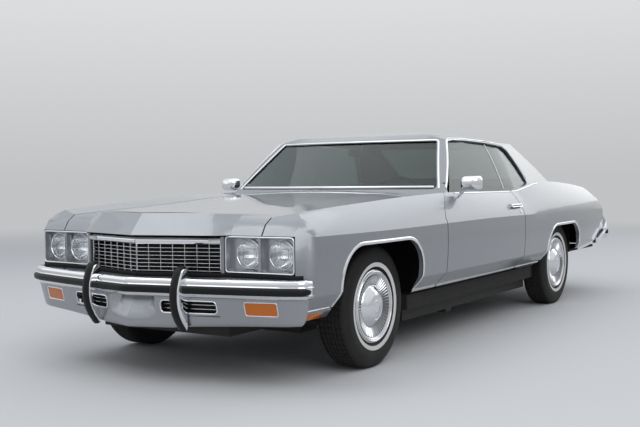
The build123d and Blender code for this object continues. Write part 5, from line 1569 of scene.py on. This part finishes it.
# Tail corners: painted caps that close the body between the lid, the tail panel and the quarter panels
cornerSetup = {
    # plan rows at three heights: (x, station)
    "rows": ((0.770, ((0.600, 4.468), (0.885, 4.462), (0.930, 4.432), (0.958, 4.370))),
             (0.865, ((0.600, 4.430), (0.850, 4.412), (0.902, 4.360), (0.940, 4.270))),
             (0.942, ((0.600, 4.330), (0.815, 4.270), (0.868, 4.180), (0.930, 3.960)))),
    # height, x from, x to, upwards
    "caps": {"Upper": ((0.7965, 0.696, 0.884), (0.815, 0.696, 0.876), (0.840, 0.696, 0.864), (0.865, 0.696, 0.850),
                       (0.890, 0.696, 0.832), (0.912, 0.696, 0.813), (0.930, 0.696, 0.798)),
             "Lower": ((0.600, 0.852, 0.912), (0.700, 0.852, 0.914), (0.7935, 0.852, 0.898))},
    "inset": 0.004, "wall": 0.010, "columns": 14,
}


def buildCorners(setup):
    def stationAt(x, z):
        rows = setup["rows"]
        for (z0, low), (z1, high) in zip(rows, rows[1:]):
            if z <= z1:
                share = max(0, (z - z0) / (z1 - z0))
                row = [(a[0] + (b[0] - a[0]) * share, a[1] + (b[1] - a[1]) * share) for a, b in zip(low, high)]
                return interpolated(row, x)

    for label, side in sides:
        for name, cap in setup["caps"].items():
            loops = []
            for k in range(setup["columns"] + 1):
                front = []
                for z, x0, x1 in cap:
                    x = x0 + (x1 - x0) * k / setup["columns"]
                    front.append(spot(side * x, stationAt(x, z) - setup["inset"], z))
                loops.append(front + [place + forward * setup["wall"] for place in reversed(front)])
            finishPiece(loftLoops(f"tailCorner{name}_{label}", loops, "silverPaint", 30), "root", "body_paint")


buildCorners(cornerSetup)

# Engine bay: air cleaner, radiator with its cap and top hose, battery on its shelf, dark sheets; mat in the trunk
baySetup = {
    "cleaner": ((0.0, 0.100), (0.004, 0.165), (0.008, 0.178), (0.018, 0.1835), (0.029, 0.1835), (0.0355, 0.178),
                (0.0375, 0.165), (0.0350, 0.060), (0.0390, 0.050), (0.0400, 0.018), (0.0480, 0.013), (0.0490, 0)),
    "cleanerPlace": (0.0, -0.030, 0.8495),
    "radiator": (0.330, -0.648, -0.604, 0.455, 0.758),  # half width, stations and heights
    "fins": 44, "finSide": 0.03, "finShort": 0.035, "finOut": 0.003,
    "cap": ((0, 0.024), (0.006, 0.024), (0.009, 0.020), (0.009, 0.008), (0.012, 0.006), (0.012, 0)),
    "capPlace": (-0.16, -0.626, 0.757),
    "hose": ((0.14, -0.612, 0.738), (0.14, -0.570, 0.752), (0.13, -0.500, 0.778), (0.10, -0.440, 0.786),
             (0.08, -0.405, 0.786)),
    # dark sheets: x from, x to, station from, station to, z at each end
    "sheets": ((0.540, 0.716, -0.640, 0.640, 0.726, 0.726), (-0.716, -0.540, -0.370, 0.640, 0.726, 0.726),
               (-0.716, -0.400, -0.640, -0.370, 0.600, 0.600), (-0.840, 0.840, 4.300, 4.430, 0.456, 0.456),
               (0.560, 0.924, 3.640, 4.150, 0.490, 0.505), (-0.924, -0.560, 3.640, 4.150, 0.490, 0.505),
               (0.560, 0.910, 4.130, 4.420, 0.500, 0.606), (-0.910, -0.560, 4.130, 4.420, 0.500, 0.606)),
    # x, station, low, high, width across, length; the shelf's two x and how much longer it is
    "battery": (-0.560, -0.500, 0.622, 0.790, 0.175, 0.250), "shelf": (-0.725, -0.425, 0.04),
    "cells": ((0, 0.013), (0.006, 0.013), (0.008, 0.010), (0.008, 0)), "cellRun": (6, 0.095, 0.038),
    "mat": ((-0.58, 0.58, 12), (3.660, 4.360, 10)),
}


def buildRadiator(setup):
    half, front, rear, low, high = setup["radiator"]
    start, end = (spot(x, rear, (low + high) / 2) for x in (-half, half))
    finishPiece(barPiece("radiatorCore", start, end, rearward, high - low, rear - front, "blackSteel", 0.004), "root",
                "black_steel")
    reach = half - setup["finSide"]
    base = spot(-reach, rear + setup["finOut"], 0)
    start, end = (base + upward * z for z in (low + setup["finShort"], high - setup["finShort"]))
    fin = barPiece("radiatorFins", start, end, rearward, 0.003, 0.006, "blackSteel", 0.0008)
    repeatPiece(fin, rowTree, setup["fins"] + 1, "blackSteel", 50, step=(2 * reach / setup["fins"], 0, 0))
    finishPiece(fin, "root", "black_steel")
    finishPiece(lathe("radiatorCap", setup["cap"], spot(*setup["capPlace"]), upward, "brightChrome", 36))
    hose = pipeRound("radiatorHose", [spot(*place) for place in setup["hose"]], 0.021, "blackRubber")
    finishPiece(hose, "root", "bumper_rubber")


def buildBattery(setup):
    x, station, low, high, across, along = setup["battery"]
    box = barPiece("battery", spot(x, station - along / 2, high), spot(x, station + along / 2, high), upward, across,
                   high - low, "flatBlack", 0.005)
    count, back, step = setup["cellRun"]
    cell = lathe("batteryCaps", setup["cells"], spot(x, station - back, high), upward, "redLens", 20)
    repeatPiece(cell, rowTree, count, "redLens", 35, step=(0, step, 0))
    near, far, longer = setup["shelf"]
    shelf = barPiece("batteryShelf", spot(near, station, low), spot(far, station, low), upward, along + longer, 0.012,
                     "blackSteel", 0.003)
    for piece in (box, cell, shelf):
        finishPiece(piece, "root", "grille_black")


def buildBay(setup):
    cleaner = lathe("airCleaner", setup["cleaner"], spot(*setup["cleanerPlace"]), upward, "engineCasting", 80)
    finishPiece(cleaner, "root", "engine_paint")
    buildRadiator(setup)
    buildBattery(setup)
    for index, (x0, x1, y0, y1, z0, z1) in enumerate(setup["sheets"]):
        middle = (x0 + x1) / 2
        finishPiece(barPiece(f"innerSheet{index}", spot(middle, y0, z0), spot(middle, y1, z1), upward, x1 - x0, 0.010,
                             "underseal", 0.002), "root", "floor_paint")
    mat = drapedSheet("trunkMat", shellOf("floor_pan"), setup["mat"], -1, 0.70, 0.003, "carpet")
    finishPiece(mat, "root", "floor_paint")


buildBay(baySetup)
print("tail corners and engine bay made")
